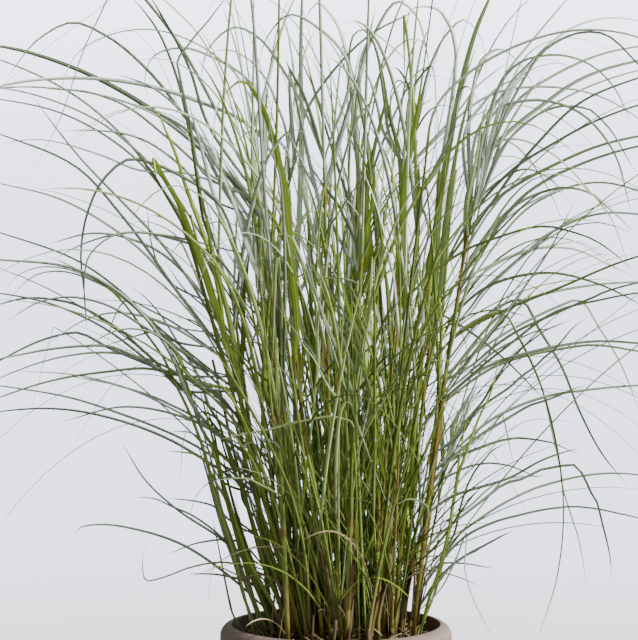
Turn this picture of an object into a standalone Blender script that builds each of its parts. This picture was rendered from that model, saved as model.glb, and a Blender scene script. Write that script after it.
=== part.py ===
"""A clump of ornamental grass growing in a round pot with an incurved, rounded rim.

Metres, +Z up. The origin is the centre of the pot's flat base, on the pot's axis.
+X runs to the right of the clump's front view and -Y towards its viewer.
"""

import math
import random

import bpy
from mathutils import Vector

# Pot
POT_HEIGHT = 0.210
POT_RADIUS = 0.120
POT_BASE_RADIUS = 0.085
POT_MOUTH_RADIUS = 0.1075
POT_WALL = 0.0115
POT_FLOOR = 0.014
POT_BELLY = 1.6
SHOULDER_ROUNDING = 0.012
LIP_ROUNDING = 0.0015
BASE_ROUNDING = 0.003
ROUND_STEPS = 36
LIP_SETBACK = 0.010

# Soil
SOIL_EDGE = 0.195
SOIL_CROWN = 0.198
SOIL_CROWN_SPAN = 0.6
SOIL_CROWN_DROP = 0.001
GAP = 0.0003

# Crown: the feet of the shoots fill a disc in a sunflower spiral, and every sixth is a solid here
SHOOTS = 90
SOLID_EVERY = 6
FIRST_SOLID = 3
CROWN_RADIUS = 0.088
GOLDEN_ANGLE = math.radians(137.508)
SEED = 54

# Culms
CULM_RADIUS = 0.0026
CULM_TIP_SCALE = 0.55
CULM_HEIGHTS = (0.34, 0.50)
FOOT_DEPTH = 0.006
SPLAY = 0.10
SPLAY_CURVE = 0.10
SPLAY_SWING = (0.75, 1.25)
LEAN_SWING = math.radians(22)
NODE_HEIGHTS = (0.32, 0.62, 0.92)
NODE_SWELL = 1.3
NODE_HALF_LENGTH = 0.018
CULM_SIDES = 8

# Blades: a long narrow leaf with a V section, its keel below, tapering to a fine tip
BLADE_WIDTH = 0.007
BLADE_DEPTH = 0.0014
BLADE_THICKNESS = 0.0008
BLADE_EDGE_SHARE = 0.6
BLADE_POINTS = 11
BLADE_BASE_SCALE = 0.6
BLADE_BASE_SPAN = 0.25
BLADE_TIP_SCALE = 0.12
BLADE_TAPER_START = 0.35
BLADE_TAPER_POWER = 1.4
BLADE_WIDTHS = (0.85, 1.15)
BLADE_LEAN = 0.12
BLADE_STRAIGHT_SHARE = 0.6
BLADE_CREST_OUT = 0.55
BLADE_CREST_RISE = 1.25
LOW_SHOOT_SHARE = 0.35

# How the low, middle and top blade of a shoot grow: collar as a share of the culm's height,
# turn from the culm's lean in degrees, reach outwards, rise above the collar and fall of the tip
HABITS = (
    {"collar": (0.30, 0.44), "turn": (20, 60), "reach": (0.28, 0.36), "rise": (0.13, 0.21),
     "fall": (0.12, 0.24)},
    {"collar": (0.56, 0.70), "turn": (-50, -10), "reach": (0.22, 0.31), "rise": (0.18, 0.26),
     "fall": (0.05, 0.16)},
    {"collar": (0.93, 0.97), "turn": (-25, 25), "reach": (0.06, 0.15), "rise": (0.20, 0.28),
     "fall": (0.00, 0.02)},
)


def heading(turn):
    """Level unit vector at an angle from +X."""
    return Vector((math.cos(turn), math.sin(turn), 0))


def shoot(index):
    """Where a shoot stands and how it leans, with the habit drawn for each of its blades."""
    dice = random.Random(SEED * 1000 + index)
    share = math.sqrt((index + 0.5) / SHOOTS)
    turn = index * GOLDEN_ANGLE
    grown = {
        "foot": heading(turn) * CROWN_RADIUS * share,
        "lean": turn + dice.uniform(-LEAN_SWING, LEAN_SWING),
        "splay": share * dice.uniform(*SPLAY_SWING),
        "height": dice.uniform(*CULM_HEIGHTS),
        "blades": [],
    }
    side = dice.choice((-1, 1))
    for habit in HABITS:
        blade = {trait: dice.uniform(*limits) for trait, limits in habit.items()}
        blade["turn"] = grown["lean"] + side * math.radians(blade["turn"])
        blade["width"] = dice.uniform(*BLADE_WIDTHS)
        grown["blades"].append(blade)
    if share < LOW_SHOOT_SHARE:
        del grown["blades"][0]
    return grown


def culm_point(grown, rise):
    """Point on a culm's axis at a height above its foot: it leans out more the higher it gets."""
    out = grown["splay"] * (SPLAY * rise + SPLAY_CURVE * rise * rise)
    level = grown["foot"] + heading(grown["lean"]) * out
    return level + Vector((0, 0, SOIL_EDGE - FOOT_DEPTH + rise))


def culm_scale(share):
    """Thickness of a culm at a share of its height, against its thickness at the foot."""
    return 1 + (CULM_TIP_SCALE - 1) * share


def culm_stations():
    """Shares of a culm's height that take a point, with the swelling there."""
    stations = [(0, 1)]
    for node in NODE_HEIGHTS:
        stations.append((node - NODE_HALF_LENGTH, 1))
        stations.append((node, NODE_SWELL))
        stations.append((node + NODE_HALF_LENGTH, 1))
    stations.append((1, 1))
    return stations


def blade_path(grown, blade, count):
    """Points along a blade: up beside its culm, over its crest and out to the tip."""
    rise_at_collar = blade["collar"] * grown["height"]
    away = heading(blade["turn"])
    clearance = CULM_RADIUS * culm_scale(blade["collar"]) * NODE_SWELL
    clearance += GAP + BLADE_THICKNESS * BLADE_BASE_SCALE * blade["width"]
    collar = culm_point(grown, rise_at_collar) + away * clearance
    slope = grown["splay"] * (SPLAY + 2 * SPLAY_CURVE * rise_at_collar) + BLADE_LEAN
    up = Vector((0, 0, 1))
    first = collar + (up + away * slope) * BLADE_STRAIGHT_SHARE * blade["rise"]
    second = collar + away * BLADE_CREST_OUT * blade["reach"] + up * BLADE_CREST_RISE * blade["rise"]
    tip = collar + away * blade["reach"] + up * (blade["rise"] - blade["fall"])
    path = []
    for step in range(count):
        t = step / (count - 1)
        s = 1 - t
        path.append(s ** 3 * collar + 3 * s * s * t * first + 3 * s * t * t * second + t ** 3 * tip)
    return path


def blade_scale(share):
    """Width of a blade at a share of its length, against its greatest width."""
    base = BLADE_BASE_SCALE + (1 - BLADE_BASE_SCALE) * min(1, share / BLADE_BASE_SPAN)
    narrowing = max(0, (share - BLADE_TAPER_START) / (1 - BLADE_TAPER_START))
    taper = 1 - (1 - BLADE_TIP_SCALE) * narrowing ** BLADE_TAPER_POWER
    return base * taper


def pot_radius(height):
    """Outside radius of the pot below its shoulder, where the wall stands upright."""
    share = height / (POT_HEIGHT - SHOULDER_ROUNDING)
    return POT_BASE_RADIUS + (POT_RADIUS - POT_BASE_RADIUS) * (1 - (1 - share) ** POT_BELLY)


def arc(centre_x, centre_z, radius, start, end, steps):
    """Points on an arc in the XZ plane, with its angles in degrees."""
    points = []
    for step in range(steps + 1):
        angle = math.radians(start + (end - start) * step / steps)
        points.append((centre_x + radius * math.cos(angle), centre_z + radius * math.sin(angle)))
    return points


def make_material(name, colour, roughness):
    material = bpy.data.materials.new(name)
    material.use_nodes = True
    shader = material.node_tree.nodes["Principled BSDF"]
    shader.inputs["Base Color"].default_value = (*colour, 1)
    shader.inputs["Roughness"].default_value = roughness
    shader.inputs["Metallic"].default_value = 0
    return material


def make_turned(name, outline, material, collection):
    """Solid of revolution about Z from an outline that starts and ends on the axis."""
    mesh = bpy.data.meshes.new(name)
    corners = [(x, 0, z) for x, z in outline]
    mesh.from_pydata(corners, [(i, i + 1) for i in range(len(corners) - 1)], [])
    mesh.materials.append(material)
    turned = bpy.data.objects.new(name, mesh)
    collection.objects.link(turned)
    screw = turned.modifiers.new("turn", "SCREW")
    screw.axis = "Z"
    screw.steps = ROUND_STEPS
    screw.render_steps = ROUND_STEPS
    screw.use_merge_vertices = True
    screw.merge_threshold = 0.00001
    screw.use_smooth_shade = True
    return turned


def inner_wall(low, high, steps):
    """Points up the pot's inner wall between two heights."""
    heights = [low + (high - low) * step / steps for step in range(steps + 1)]
    return [(pot_radius(height) - POT_WALL, height) for height in heights]


def make_pot(material, collection):
    """Pot: flat floor, tapered wall, and a rim that rounds inwards from the shoulder to a fine lip."""
    shoulder = POT_HEIGHT - SHOULDER_ROUNDING
    outline = [(0, POT_FLOOR)]
    outline += inner_wall(POT_FLOOR, shoulder - SHOULDER_ROUNDING, 4)
    outline += arc(POT_MOUTH_RADIUS + LIP_ROUNDING, POT_HEIGHT - LIP_ROUNDING, LIP_ROUNDING, 180, 90, 2)
    outline += arc(POT_RADIUS - SHOULDER_ROUNDING, shoulder, SHOULDER_ROUNDING, 80, 0, 4)
    outline += [(pot_radius(shoulder * share), shoulder * share) for share in (0.8, 0.6, 0.4, 0.2)]
    edge = pot_radius(BASE_ROUNDING)
    outline += [(edge, BASE_ROUNDING), (edge - BASE_ROUNDING, 0), (0, 0)]
    return make_turned("pot", outline, material, collection)


def make_soil(material, collection):
    """Soil: it fills the pot to just below the lip, and its top is slightly domed."""
    wall = inner_wall(POT_FLOOR + GAP, SOIL_EDGE - LIP_SETBACK, 3)
    wall = [(radius - GAP, height) for radius, height in wall]
    top_edge = (POT_MOUTH_RADIUS - GAP, SOIL_EDGE)
    crown_edge = (POT_MOUTH_RADIUS * SOIL_CROWN_SPAN, SOIL_CROWN - SOIL_CROWN_DROP)
    outline = [(0, SOIL_CROWN), crown_edge, top_edge]
    outline += wall[::-1] + [(0, POT_FLOOR + GAP)]
    return make_turned("soil", outline, material, collection)


def make_socket(grown, collection):
    """Cutter for the hollow in the soil that holds a culm's foot, with a gap all round."""
    bottom = culm_point(grown, 0)
    top = culm_point(grown, 2 * FOOT_DEPTH)
    along = top - bottom
    radius = (CULM_RADIUS + GAP) / math.cos(math.pi / CULM_SIDES)
    bpy.ops.mesh.primitive_cylinder_add(vertices=CULM_SIDES, radius=radius, depth=along.length + 2 * GAP)
    socket = bpy.context.object
    socket.name = "foot_socket"
    socket.location = (bottom + top) / 2
    socket.rotation_mode = "QUATERNION"
    socket.rotation_quaternion = along.to_track_quat("Z", "Y")
    socket.hide_render = True
    socket.display_type = "WIRE"
    for home in socket.users_collection:
        home.objects.unlink(socket)
    collection.objects.link(socket)
    return socket


def make_curve(name, path, scales, material, collection):
    """Curve through a path, whose thickness follows the scales."""
    curve = bpy.data.curves.new(name, "CURVE")
    curve.dimensions = "3D"
    curve.use_fill_caps = True
    spline = curve.splines.new("POLY")
    spline.points.add(len(path) - 1)
    for point, place, scale in zip(spline.points, path, scales):
        point.co = (*place, 1)
        point.radius = scale
    spline.use_smooth = True
    curve.materials.append(material)
    made = bpy.data.objects.new(name, curve)
    collection.objects.link(made)
    return made


def make_culm(name, grown, material, collection):
    """Culm: a tapering stem that swells at its nodes."""
    stations = culm_stations()
    path = [culm_point(grown, share * grown["height"]) for share, swell in stations]
    scales = [culm_scale(share) * swell for share, swell in stations]
    culm = make_curve(name, path, scales, material, collection)
    culm.data.bevel_depth = CULM_RADIUS
    culm.data.bevel_resolution = CULM_SIDES // 4 - 1
    return culm


def make_blade_section(collection):
    """Section of a blade: a shallow V with its keel at the middle, as a guide for the sweep."""
    half = BLADE_WIDTH / 2
    top = BLADE_DEPTH + BLADE_THICKNESS * BLADE_EDGE_SHARE
    corners = [
        (0, 0),
        (-half, BLADE_DEPTH),
        (-half, top),
        (0, BLADE_THICKNESS),
        (half, top),
        (half, BLADE_DEPTH),
    ]
    curve = bpy.data.curves.new("blade_section", "CURVE")
    curve.dimensions = "2D"
    spline = curve.splines.new("POLY")
    spline.points.add(len(corners) - 1)
    for point, (x, y) in zip(spline.points, corners):
        point.co = (x, y, 0, 1)
    spline.use_cyclic_u = True
    section = bpy.data.objects.new("blade_section", curve)
    section.hide_render = True
    section.display_type = "WIRE"
    collection.objects.link(section)
    return section


def make_blade(name, grown, blade, section, material, collection):
    """Blade: the V section swept along its arching path."""
    path = blade_path(grown, blade, BLADE_POINTS)
    shares = [step / (BLADE_POINTS - 1) for step in range(BLADE_POINTS)]
    scales = [blade["width"] * blade_scale(share) for share in shares]
    made = make_curve(name, path, scales, material, collection)
    made.data.twist_mode = "Z_UP"
    made.data.bevel_mode = "OBJECT"
    made.data.bevel_object = section
    return made


# Start from an empty scene, with one collection for the object and one for cutters and guides
for leftover in list(bpy.data.objects):
    bpy.data.objects.remove(leftover, do_unlink=True)
plant = bpy.data.collections.new("potted_grass_clump")
guides = bpy.data.collections.new("guides")
sockets = bpy.data.collections.new("foot_sockets")
for holder in (plant, guides, sockets):
    bpy.context.scene.collection.children.link(holder)

# Materials
stoneware = make_material("pot_stoneware", (0.33, 0.27, 0.23), 0.75)
compost = make_material("soil_compost", (0.05, 0.035, 0.022), 0.95)
culm_green = make_material("culm_green", (0.20, 0.25, 0.07), 0.55)
blade_greens = (
    make_material("blade_low_olive", (0.16, 0.22, 0.06), 0.5),
    make_material("blade_middle_green", (0.19, 0.29, 0.07), 0.5),
    make_material("blade_top_glaucous", (0.33, 0.42, 0.30), 0.5),
)

# Pot and soil
make_pot(stoneware, plant)
soil = make_soil(compost, plant)

# Shoots: each culm stands in its own hollow in the soil and carries its blades
section = make_blade_section(guides)
solid_shoots = range(FIRST_SOLID, SHOOTS, SOLID_EVERY)
for number, index in enumerate(solid_shoots, start=1):
    grown = shoot(index)
    make_socket(grown, sockets)
    make_culm(f"culm_{number:02d}", grown, culm_green, plant)
    greens = blade_greens[-len(grown["blades"]):]
    places = ("low", "middle", "top")[-len(grown["blades"]):]
    for blade, green, place in zip(grown["blades"], greens, places):
        make_blade(f"blade_{number:02d}_{place}", grown, blade, section, green, plant)

# The hollows are cut from the soil in one go
hollow = soil.modifiers.new("foot hollows", "BOOLEAN")
hollow.operation = "DIFFERENCE"
hollow.solver = "EXACT"
hollow.operand_type = "COLLECTION"
hollow.collection = sockets
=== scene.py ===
import math
import random
import bpy
import numpy as np
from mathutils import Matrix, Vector


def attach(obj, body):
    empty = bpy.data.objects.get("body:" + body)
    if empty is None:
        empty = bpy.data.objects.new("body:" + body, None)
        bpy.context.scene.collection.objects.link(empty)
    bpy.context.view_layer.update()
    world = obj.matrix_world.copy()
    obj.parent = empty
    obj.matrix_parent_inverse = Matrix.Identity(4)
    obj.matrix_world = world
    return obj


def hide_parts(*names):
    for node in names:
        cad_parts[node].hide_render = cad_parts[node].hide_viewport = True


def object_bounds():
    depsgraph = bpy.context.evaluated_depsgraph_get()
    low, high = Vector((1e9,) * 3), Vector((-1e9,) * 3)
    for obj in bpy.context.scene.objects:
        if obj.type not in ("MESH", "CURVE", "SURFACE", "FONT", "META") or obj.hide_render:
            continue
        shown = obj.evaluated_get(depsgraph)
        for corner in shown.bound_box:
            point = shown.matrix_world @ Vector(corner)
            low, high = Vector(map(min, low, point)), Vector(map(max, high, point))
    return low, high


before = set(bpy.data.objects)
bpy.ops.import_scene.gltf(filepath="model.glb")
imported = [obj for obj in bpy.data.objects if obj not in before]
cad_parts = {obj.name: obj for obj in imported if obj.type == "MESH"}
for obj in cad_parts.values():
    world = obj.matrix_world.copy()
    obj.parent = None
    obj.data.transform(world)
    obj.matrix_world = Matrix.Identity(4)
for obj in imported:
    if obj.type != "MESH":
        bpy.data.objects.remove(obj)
solid_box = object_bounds()


# ---------------------------------------------------------------- View
# The clump is looked at level, from a little over half its height,
# so the pot shows only its rim and the blades fill the picture.
EYE = Vector((-0.0175, -1.857, 0.524))
LENS = 100.7
SENSOR_WIDTH = 36
SIGHT_END = 200

bpy.ops.object.select_all(action="DESELECT")
bpy.ops.object.camera_add(location=EYE, rotation=(math.radians(90), 0, 0))
camera = bpy.context.object
camera.data.lens = LENS
camera.data.sensor_width = SENSOR_WIDTH
camera.data.clip_end = SIGHT_END
bpy.context.scene.camera = camera


# ---------------------------------------------------------------- Floor and studio light
# A plain pale floor that fades into the pale surroundings, a large soft
# light from the right and front, and a dim fill from everywhere else.
FLOOR_RADIUS = 60
FLOOR_NEAR = 0.8
FLOOR_FAR = 2.6
FLOOR_SEEN = (0.70, 0.70, 0.73)
FLOOR_LIT = (0.20, 0.20, 0.20)
PALE = (2.4, 2.55, 3.1)
PALE_HIGH = (5.0, 5.2, 5.8)
PALE_HIGH_FROM = 0.35
FILL_SIDE = (0.82, -0.08, 0.56)
FILL_COLOUR = (0.97, 0.98, 1.0)
FILL_DIM, FILL_BRIGHT = 0.17, 1.6
KEY_PLACE = (2.2, -0.6, 2.2)
KEY_AIM = (0, 0, 0.5)
KEY_SOFTNESS = math.radians(10)
KEY_STRENGTH = 10.5
KEY_COLOUR = (1.0, 0.98, 0.95)


def new_material(name):
    """Material with only its output and Principled shader, and the tree to add nodes to."""
    material = bpy.data.materials.new(name)
    material.use_nodes = True
    tree = material.node_tree
    return material, tree, tree.nodes["Principled BSDF"]


def node(tree, kind, **inputs):
    """Add a node and fill its sockets: a socket of another node is linked, a value is set."""
    made = tree.nodes.new("ShaderNode" + kind)
    for name, value in inputs.items():
        plug(tree, made, name.replace("_", " "), value)
    return made


def plug(tree, made, name, value):
    """Link or set one input of a node, by its name, or by its number as n0, n1 and so on."""
    slot = made.inputs[int(name[1:])] if name[:1] == "n" and name[1:].isdigit() else made.inputs[name]
    if isinstance(value, bpy.types.NodeSocket):
        tree.links.new(value, slot)
    elif isinstance(value, tuple) and len(value) == 3 and slot.type == "RGBA":
        slot.default_value = (*value, 1)
    else:
        slot.default_value = value


def maths(tree, operation, first, second=0.0):
    """Result of one Math node."""
    made = tree.nodes.new("ShaderNodeMath")
    made.operation = operation
    plug(tree, made, "n0", first)
    plug(tree, made, "n1", second)
    return made.outputs[0]


def step_between(tree, value, low, high, start=0.0, end=1.0):
    """Smooth step of a value from low to high."""
    made = tree.nodes.new("ShaderNodeMapRange")
    made.interpolation_type = "SMOOTHSTEP"
    plug(tree, made, "Value", value)
    made.inputs["From Min"].default_value = low
    made.inputs["From Max"].default_value = high
    made.inputs["To Min"].default_value = start
    made.inputs["To Max"].default_value = end
    return made.outputs[0]


def blend_colours(tree, share, first, second, mode="MIX"):
    """Colour between two colours."""
    made = tree.nodes.new("ShaderNodeMix")
    made.data_type = "RGBA"
    made.blend_type = mode
    plug(tree, made, "n0", share)
    plug(tree, made, "n6", first)
    plug(tree, made, "n7", second)
    return made.outputs[2]


floor_paint, tree, shader = new_material("floor_paint")
place = node(tree, "TexCoord").outputs["Object"]
distance = tree.nodes.new("ShaderNodeVectorMath")
distance.operation = "LENGTH"
tree.links.new(place, distance.inputs[0])
seen = node(tree, "LightPath").outputs["Is Camera Ray"]
plug(tree, shader, "Base Color", blend_colours(tree, seen, FLOOR_LIT, FLOOR_SEEN))
shader.inputs["Roughness"].default_value = 0.9
haze = node(tree, "Emission", Color=PALE)
far = maths(tree, "MULTIPLY", step_between(tree, distance.outputs["Value"], FLOOR_NEAR, FLOOR_FAR), seen)
fade = node(tree, "MixShader", n0=far, n1=shader.outputs[0], n2=haze.outputs[0])
tree.links.new(fade.outputs[0], tree.nodes["Material Output"].inputs["Surface"])

bpy.ops.mesh.primitive_circle_add(vertices=96, radius=FLOOR_RADIUS, fill_type="NGON")
floor = bpy.context.object
floor.name = "floor"
floor.data.materials.append(floor_paint)

world = bpy.data.worlds.new("studio")
bpy.context.scene.world = world
world.use_nodes = True
tree = world.node_tree
tree.nodes.clear()
direction = node(tree, "TexCoord").outputs["Generated"]
height = node(tree, "SeparateXYZ", n0=direction).outputs["Z"]
backdrop = blend_colours(tree, step_between(tree, height, 0.0, PALE_HIGH_FROM), PALE, PALE_HIGH)
towards = tree.nodes.new("ShaderNodeVectorMath")
towards.operation = "DOT_PRODUCT"
tree.links.new(direction, towards.inputs[0])
towards.inputs[1].default_value = FILL_SIDE
soft = step_between(tree, towards.outputs["Value"], -0.5, 1.0, FILL_DIM, FILL_BRIGHT)
lit = node(tree, "Background", Color=FILL_COLOUR, Strength=soft)
shown = node(tree, "Background", Color=backdrop, Strength=1.0)
ray = node(tree, "LightPath").outputs["Is Camera Ray"]
both = node(tree, "MixShader", n0=ray, n1=lit.outputs[0], n2=shown.outputs[0])
node(tree, "OutputWorld", Surface=both.outputs[0])

bpy.ops.object.light_add(type="SUN", location=KEY_PLACE)
key = bpy.context.object
key.name = "key_light"
key.data.angle = KEY_SOFTNESS
key.data.energy = KEY_STRENGTH
key.data.color = KEY_COLOUR
key.rotation_euler = (Vector(KEY_AIM) - Vector(KEY_PLACE)).to_track_quat("-Z", "Y").to_euler()


# ---------------------------------------------------------------- Pot
# A round stoneware pot in matte taupe, thrown with a plain tapered wall.
# Its rim turns inwards in a soft shoulder and ends in a fine lip.
POT_HEIGHT = 0.210
POT_RADIUS = 0.120
POT_BASE_RADIUS = 0.085
POT_MOUTH_RADIUS = 0.1075
POT_WALL = 0.0115
POT_FLOOR = 0.014
POT_BELLY = 1.6
SHOULDER_ROUNDING = 0.012
LIP_ROUNDING = 0.0015
BASE_ROUNDING = 0.003
INNER_SHOULDER = 0.014
POT_SIDES = 128
WALL_STEPS = 24
FIRST_RING = 0.02
TAUPE_DEEP = (0.140, 0.099, 0.082)
TAUPE = (0.185, 0.136, 0.115)
PALE_GRIT = (0.25, 0.195, 0.165)
DARK_SPECK = (0.085, 0.064, 0.053)
DARKER_LIP_TOP = (0.085, 0.067, 0.055)


def pot_radius(height):
    """Outside radius of the pot below its shoulder."""
    share = height / (POT_HEIGHT - SHOULDER_ROUNDING)
    return POT_BASE_RADIUS + (POT_RADIUS - POT_BASE_RADIUS) * (1 - (1 - share) ** POT_BELLY)


def arc(centre_radius, centre_height, rounding, start, end, steps):
    """Points (radius, height) on a rounded edge, with its angles in degrees."""
    angles = [math.radians(start + (end - start) * step / steps) for step in range(steps + 1)]
    return [(centre_radius + rounding * math.cos(a), centre_height + rounding * math.sin(a)) for a in angles]


def raise_rings(name, outline, sides):
    """Solid of revolution: a disc extruded ring by ring along an outline of (radius, height)."""
    bpy.ops.object.select_all(action="DESELECT")
    start_radius, start_height = outline[0]
    bpy.ops.mesh.primitive_circle_add(
        vertices=sides, radius=start_radius, fill_type="NGON", location=(0, 0, start_height)
    )
    made = bpy.context.object
    made.name = name
    bpy.ops.object.transform_apply(location=True, rotation=False, scale=False)
    bpy.ops.object.mode_set(mode="EDIT")
    bpy.ops.mesh.select_all(action="SELECT")
    for (radius, height), (next_radius, next_height) in zip(outline, outline[1:]):
        bpy.ops.mesh.extrude_region_move(TRANSFORM_OT_translate={"value": (0, 0, next_height - height)})
        grow = next_radius / radius
        bpy.ops.transform.resize(value=(grow, grow, 1), center_override=(0, 0, next_height))
    bpy.ops.mesh.select_all(action="SELECT")
    bpy.ops.mesh.normals_make_consistent(inside=False)
    bpy.ops.object.mode_set(mode="OBJECT")
    return made


shoulder = POT_HEIGHT - SHOULDER_ROUNDING
foot_edge = pot_radius(BASE_ROUNDING)
outline = [(FIRST_RING, 0)]
outline += arc(foot_edge - BASE_ROUNDING, BASE_ROUNDING, BASE_ROUNDING, -90, 0, 4)
heights = [shoulder * step / WALL_STEPS for step in range(1, WALL_STEPS)]
outline += [(pot_radius(height), height) for height in heights]
outline += arc(POT_RADIUS - SHOULDER_ROUNDING, shoulder, SHOULDER_ROUNDING, 0, 84, 10)
outline += arc(POT_MOUTH_RADIUS + LIP_ROUNDING, POT_HEIGHT - LIP_ROUNDING, LIP_ROUNDING, 90, 200, 6)
inside = shoulder - INNER_SHOULDER - POT_FLOOR
heights = [POT_FLOOR + inside * share for share in (1.0, 0.8, 0.6, 0.4, 0.2, 0.0)]
outline += [(pot_radius(height) - POT_WALL, height) for height in heights]
pot = raise_rings("pot_fine", outline, POT_SIDES)
bpy.ops.object.shade_smooth_by_angle(angle=math.radians(40))

glaze, tree, shader = new_material("taupe_stoneware")
place = node(tree, "TexCoord").outputs["Object"]
cloud = node(tree, "TexNoise", Vector=place, Scale=26.0, Detail=6.0, Roughness=0.6).outputs[0]
grit = node(tree, "TexNoise", Vector=place, Scale=900.0, Detail=3.0, Roughness=0.7).outputs[0]
specks = node(tree, "TexVoronoi", Vector=place, Scale=420.0).outputs["Distance"]
body = blend_colours(tree, step_between(tree, cloud, 0.35, 0.68), TAUPE_DEEP, TAUPE)
body = blend_colours(tree, step_between(tree, grit, 0.45, 0.75, 0.0, 0.35), body, PALE_GRIT)
body = blend_colours(tree, step_between(tree, specks, 0.02, 0.16, 0.5, 0.0), body, DARK_SPECK)
# The top of the rim is made darker, unevenly, up to the lip.
rise = node(tree, "SeparateXYZ", n0=place).outputs["Z"]
uneven_rise = maths(tree, "ADD", rise, maths(tree, "MULTIPLY", cloud, 0.01))
lip_darkening = step_between(tree, uneven_rise, 0.2095, 0.2145, 0.0, 0.35)
body = blend_colours(tree, lip_darkening, body, DARKER_LIP_TOP)
tree.links.new(body, shader.inputs["Base Color"])
tree.links.new(step_between(tree, cloud, 0.3, 0.7, 0.62, 0.82), shader.inputs["Roughness"])
shader.inputs["Specular IOR Level"].default_value = 0.35
relief = maths(tree, "ADD", maths(tree, "MULTIPLY", grit, 0.6), cloud)
bump = node(tree, "Bump", Strength=0.35, Distance=0.0006, Height=relief)
tree.links.new(bump.outputs[0], shader.inputs["Normal"])
pot.data.materials.append(glaze)
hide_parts("pot")
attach(pot, "root")


# ---------------------------------------------------------------- Soil
# Dark bark compost, pressed in to just below the lip and slightly domed,
# with loose crumbs lying on it between the shoots.
SOIL_EDGE = 0.195
SOIL_CROWN = 0.198
SOIL_DOME = 0.003
SOIL_WALL_END = 0.010
SOIL_SIDES = 84
DOME_RINGS = 14
LUMP = 0.0022
GAP = 0.0003
CRUMBS = 320
CRUMB_SIZES = (0.0012, 0.0042)
CRUMB_STRETCH, CRUMB_FLATNESS, CRUMB_KNOCKS = (0.6, 1.4), (0.4, 0.9), (0.75, 1.2)
CRUMB_MARGIN = 0.006
CRUMB_SINK = 0.0005
EARTH_DARK = (0.012, 0.008, 0.005)
EARTH = (0.075, 0.050, 0.030)
BARK_CHIPS = (0.11, 0.075, 0.045)

wall = [POT_FLOOR + GAP + (SOIL_EDGE - SOIL_WALL_END - POT_FLOOR) * step / 6 for step in range(7)]
outline = [(FIRST_RING, POT_FLOOR + GAP)]
outline += [(pot_radius(height) - POT_WALL - GAP, height) for height in wall]
outline += [(POT_MOUTH_RADIUS - GAP, SOIL_EDGE)]
dome = [POT_MOUTH_RADIUS * (1 - step / DOME_RINGS) for step in range(1, DOME_RINGS)]
outline += [(radius, SOIL_CROWN - SOIL_DOME * (radius / POT_MOUTH_RADIUS) ** 2) for radius in dome]
soil = raise_rings("soil_fine", outline, SOIL_SIDES)
bpy.ops.object.mode_set(mode="EDIT")
bpy.ops.mesh.select_all(action="DESELECT")
bpy.ops.object.mode_set(mode="OBJECT")
for corner in soil.data.vertices:
    corner.select = corner.co.z > SOIL_EDGE + 0.0002
bpy.ops.object.mode_set(mode="EDIT")
bpy.ops.transform.vertex_random(offset=LUMP, uniform=0.3, normal=0.2, seed=7)
bpy.ops.mesh.select_all(action="SELECT")
bpy.ops.mesh.normals_make_consistent(inside=False)
bpy.ops.object.mode_set(mode="OBJECT")
bpy.ops.object.shade_smooth_by_angle(angle=math.radians(50))

compost, tree, shader = new_material("bark_compost")
place = node(tree, "TexCoord").outputs["Object"]
clods = node(tree, "TexNoise", Vector=place, Scale=260.0, Detail=8.0, Roughness=0.75).outputs[0]
patches = node(tree, "TexNoise", Vector=place, Scale=45.0, Detail=3.0).outputs[0]
earth = blend_colours(tree, step_between(tree, clods, 0.35, 0.7), EARTH_DARK, EARTH)
earth = blend_colours(tree, step_between(tree, patches, 0.5, 0.8, 0.0, 0.6), earth, BARK_CHIPS)
tree.links.new(earth, shader.inputs["Base Color"])
shader.inputs["Roughness"].default_value = 0.95
bump = node(tree, "Bump", Strength=0.9, Distance=0.002, Height=clods)
tree.links.new(bump.outputs[0], shader.inputs["Normal"])
soil.data.materials.append(compost)
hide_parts("soil")
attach(soil, "root")


def joined_piece(name, corners, faces, material):
    """One object from the corners and faces of many small shapes, smooth all over."""
    mesh = bpy.data.meshes.new(name)
    mesh.from_pydata(corners, [], faces)
    mesh.materials.append(material)
    mesh.shade_smooth()
    made = bpy.data.objects.new(name, mesh)
    bpy.context.scene.collection.objects.link(made)
    return made


bpy.ops.object.select_all(action="DESELECT")
bpy.ops.mesh.primitive_ico_sphere_add(subdivisions=1, radius=1)
pattern = bpy.context.object
crumb_corners = np.array([corner.co for corner in pattern.data.vertices])
crumb_faces = [tuple(face.vertices) for face in pattern.data.polygons]
bpy.data.objects.remove(pattern)
dice = random.Random(11)
corners = []
faces = []
for number in range(CRUMBS):
    size = dice.uniform(*CRUMB_SIZES)
    turn = dice.uniform(0, 2 * math.pi)
    out = (POT_MOUTH_RADIUS - CRUMB_MARGIN) * math.sqrt(dice.random())
    stretch = np.array([dice.uniform(*limits) for limits in (CRUMB_STRETCH, CRUMB_STRETCH, CRUMB_FLATNESS)])
    knocks = np.array([[dice.uniform(*CRUMB_KNOCKS)] for corner in crumb_corners])
    middle = np.array([out * math.cos(turn), out * math.sin(turn), SOIL_CROWN - CRUMB_SINK + size * 0.3])
    faces += [tuple(index + len(corners) for index in face) for face in crumb_faces]
    corners += [tuple(corner) for corner in crumb_corners * knocks * stretch * size + middle]
crumbs = joined_piece("soil_crumbs", corners, faces, compost)
crumbs.data.shade_flat()
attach(crumbs, "root")


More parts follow.
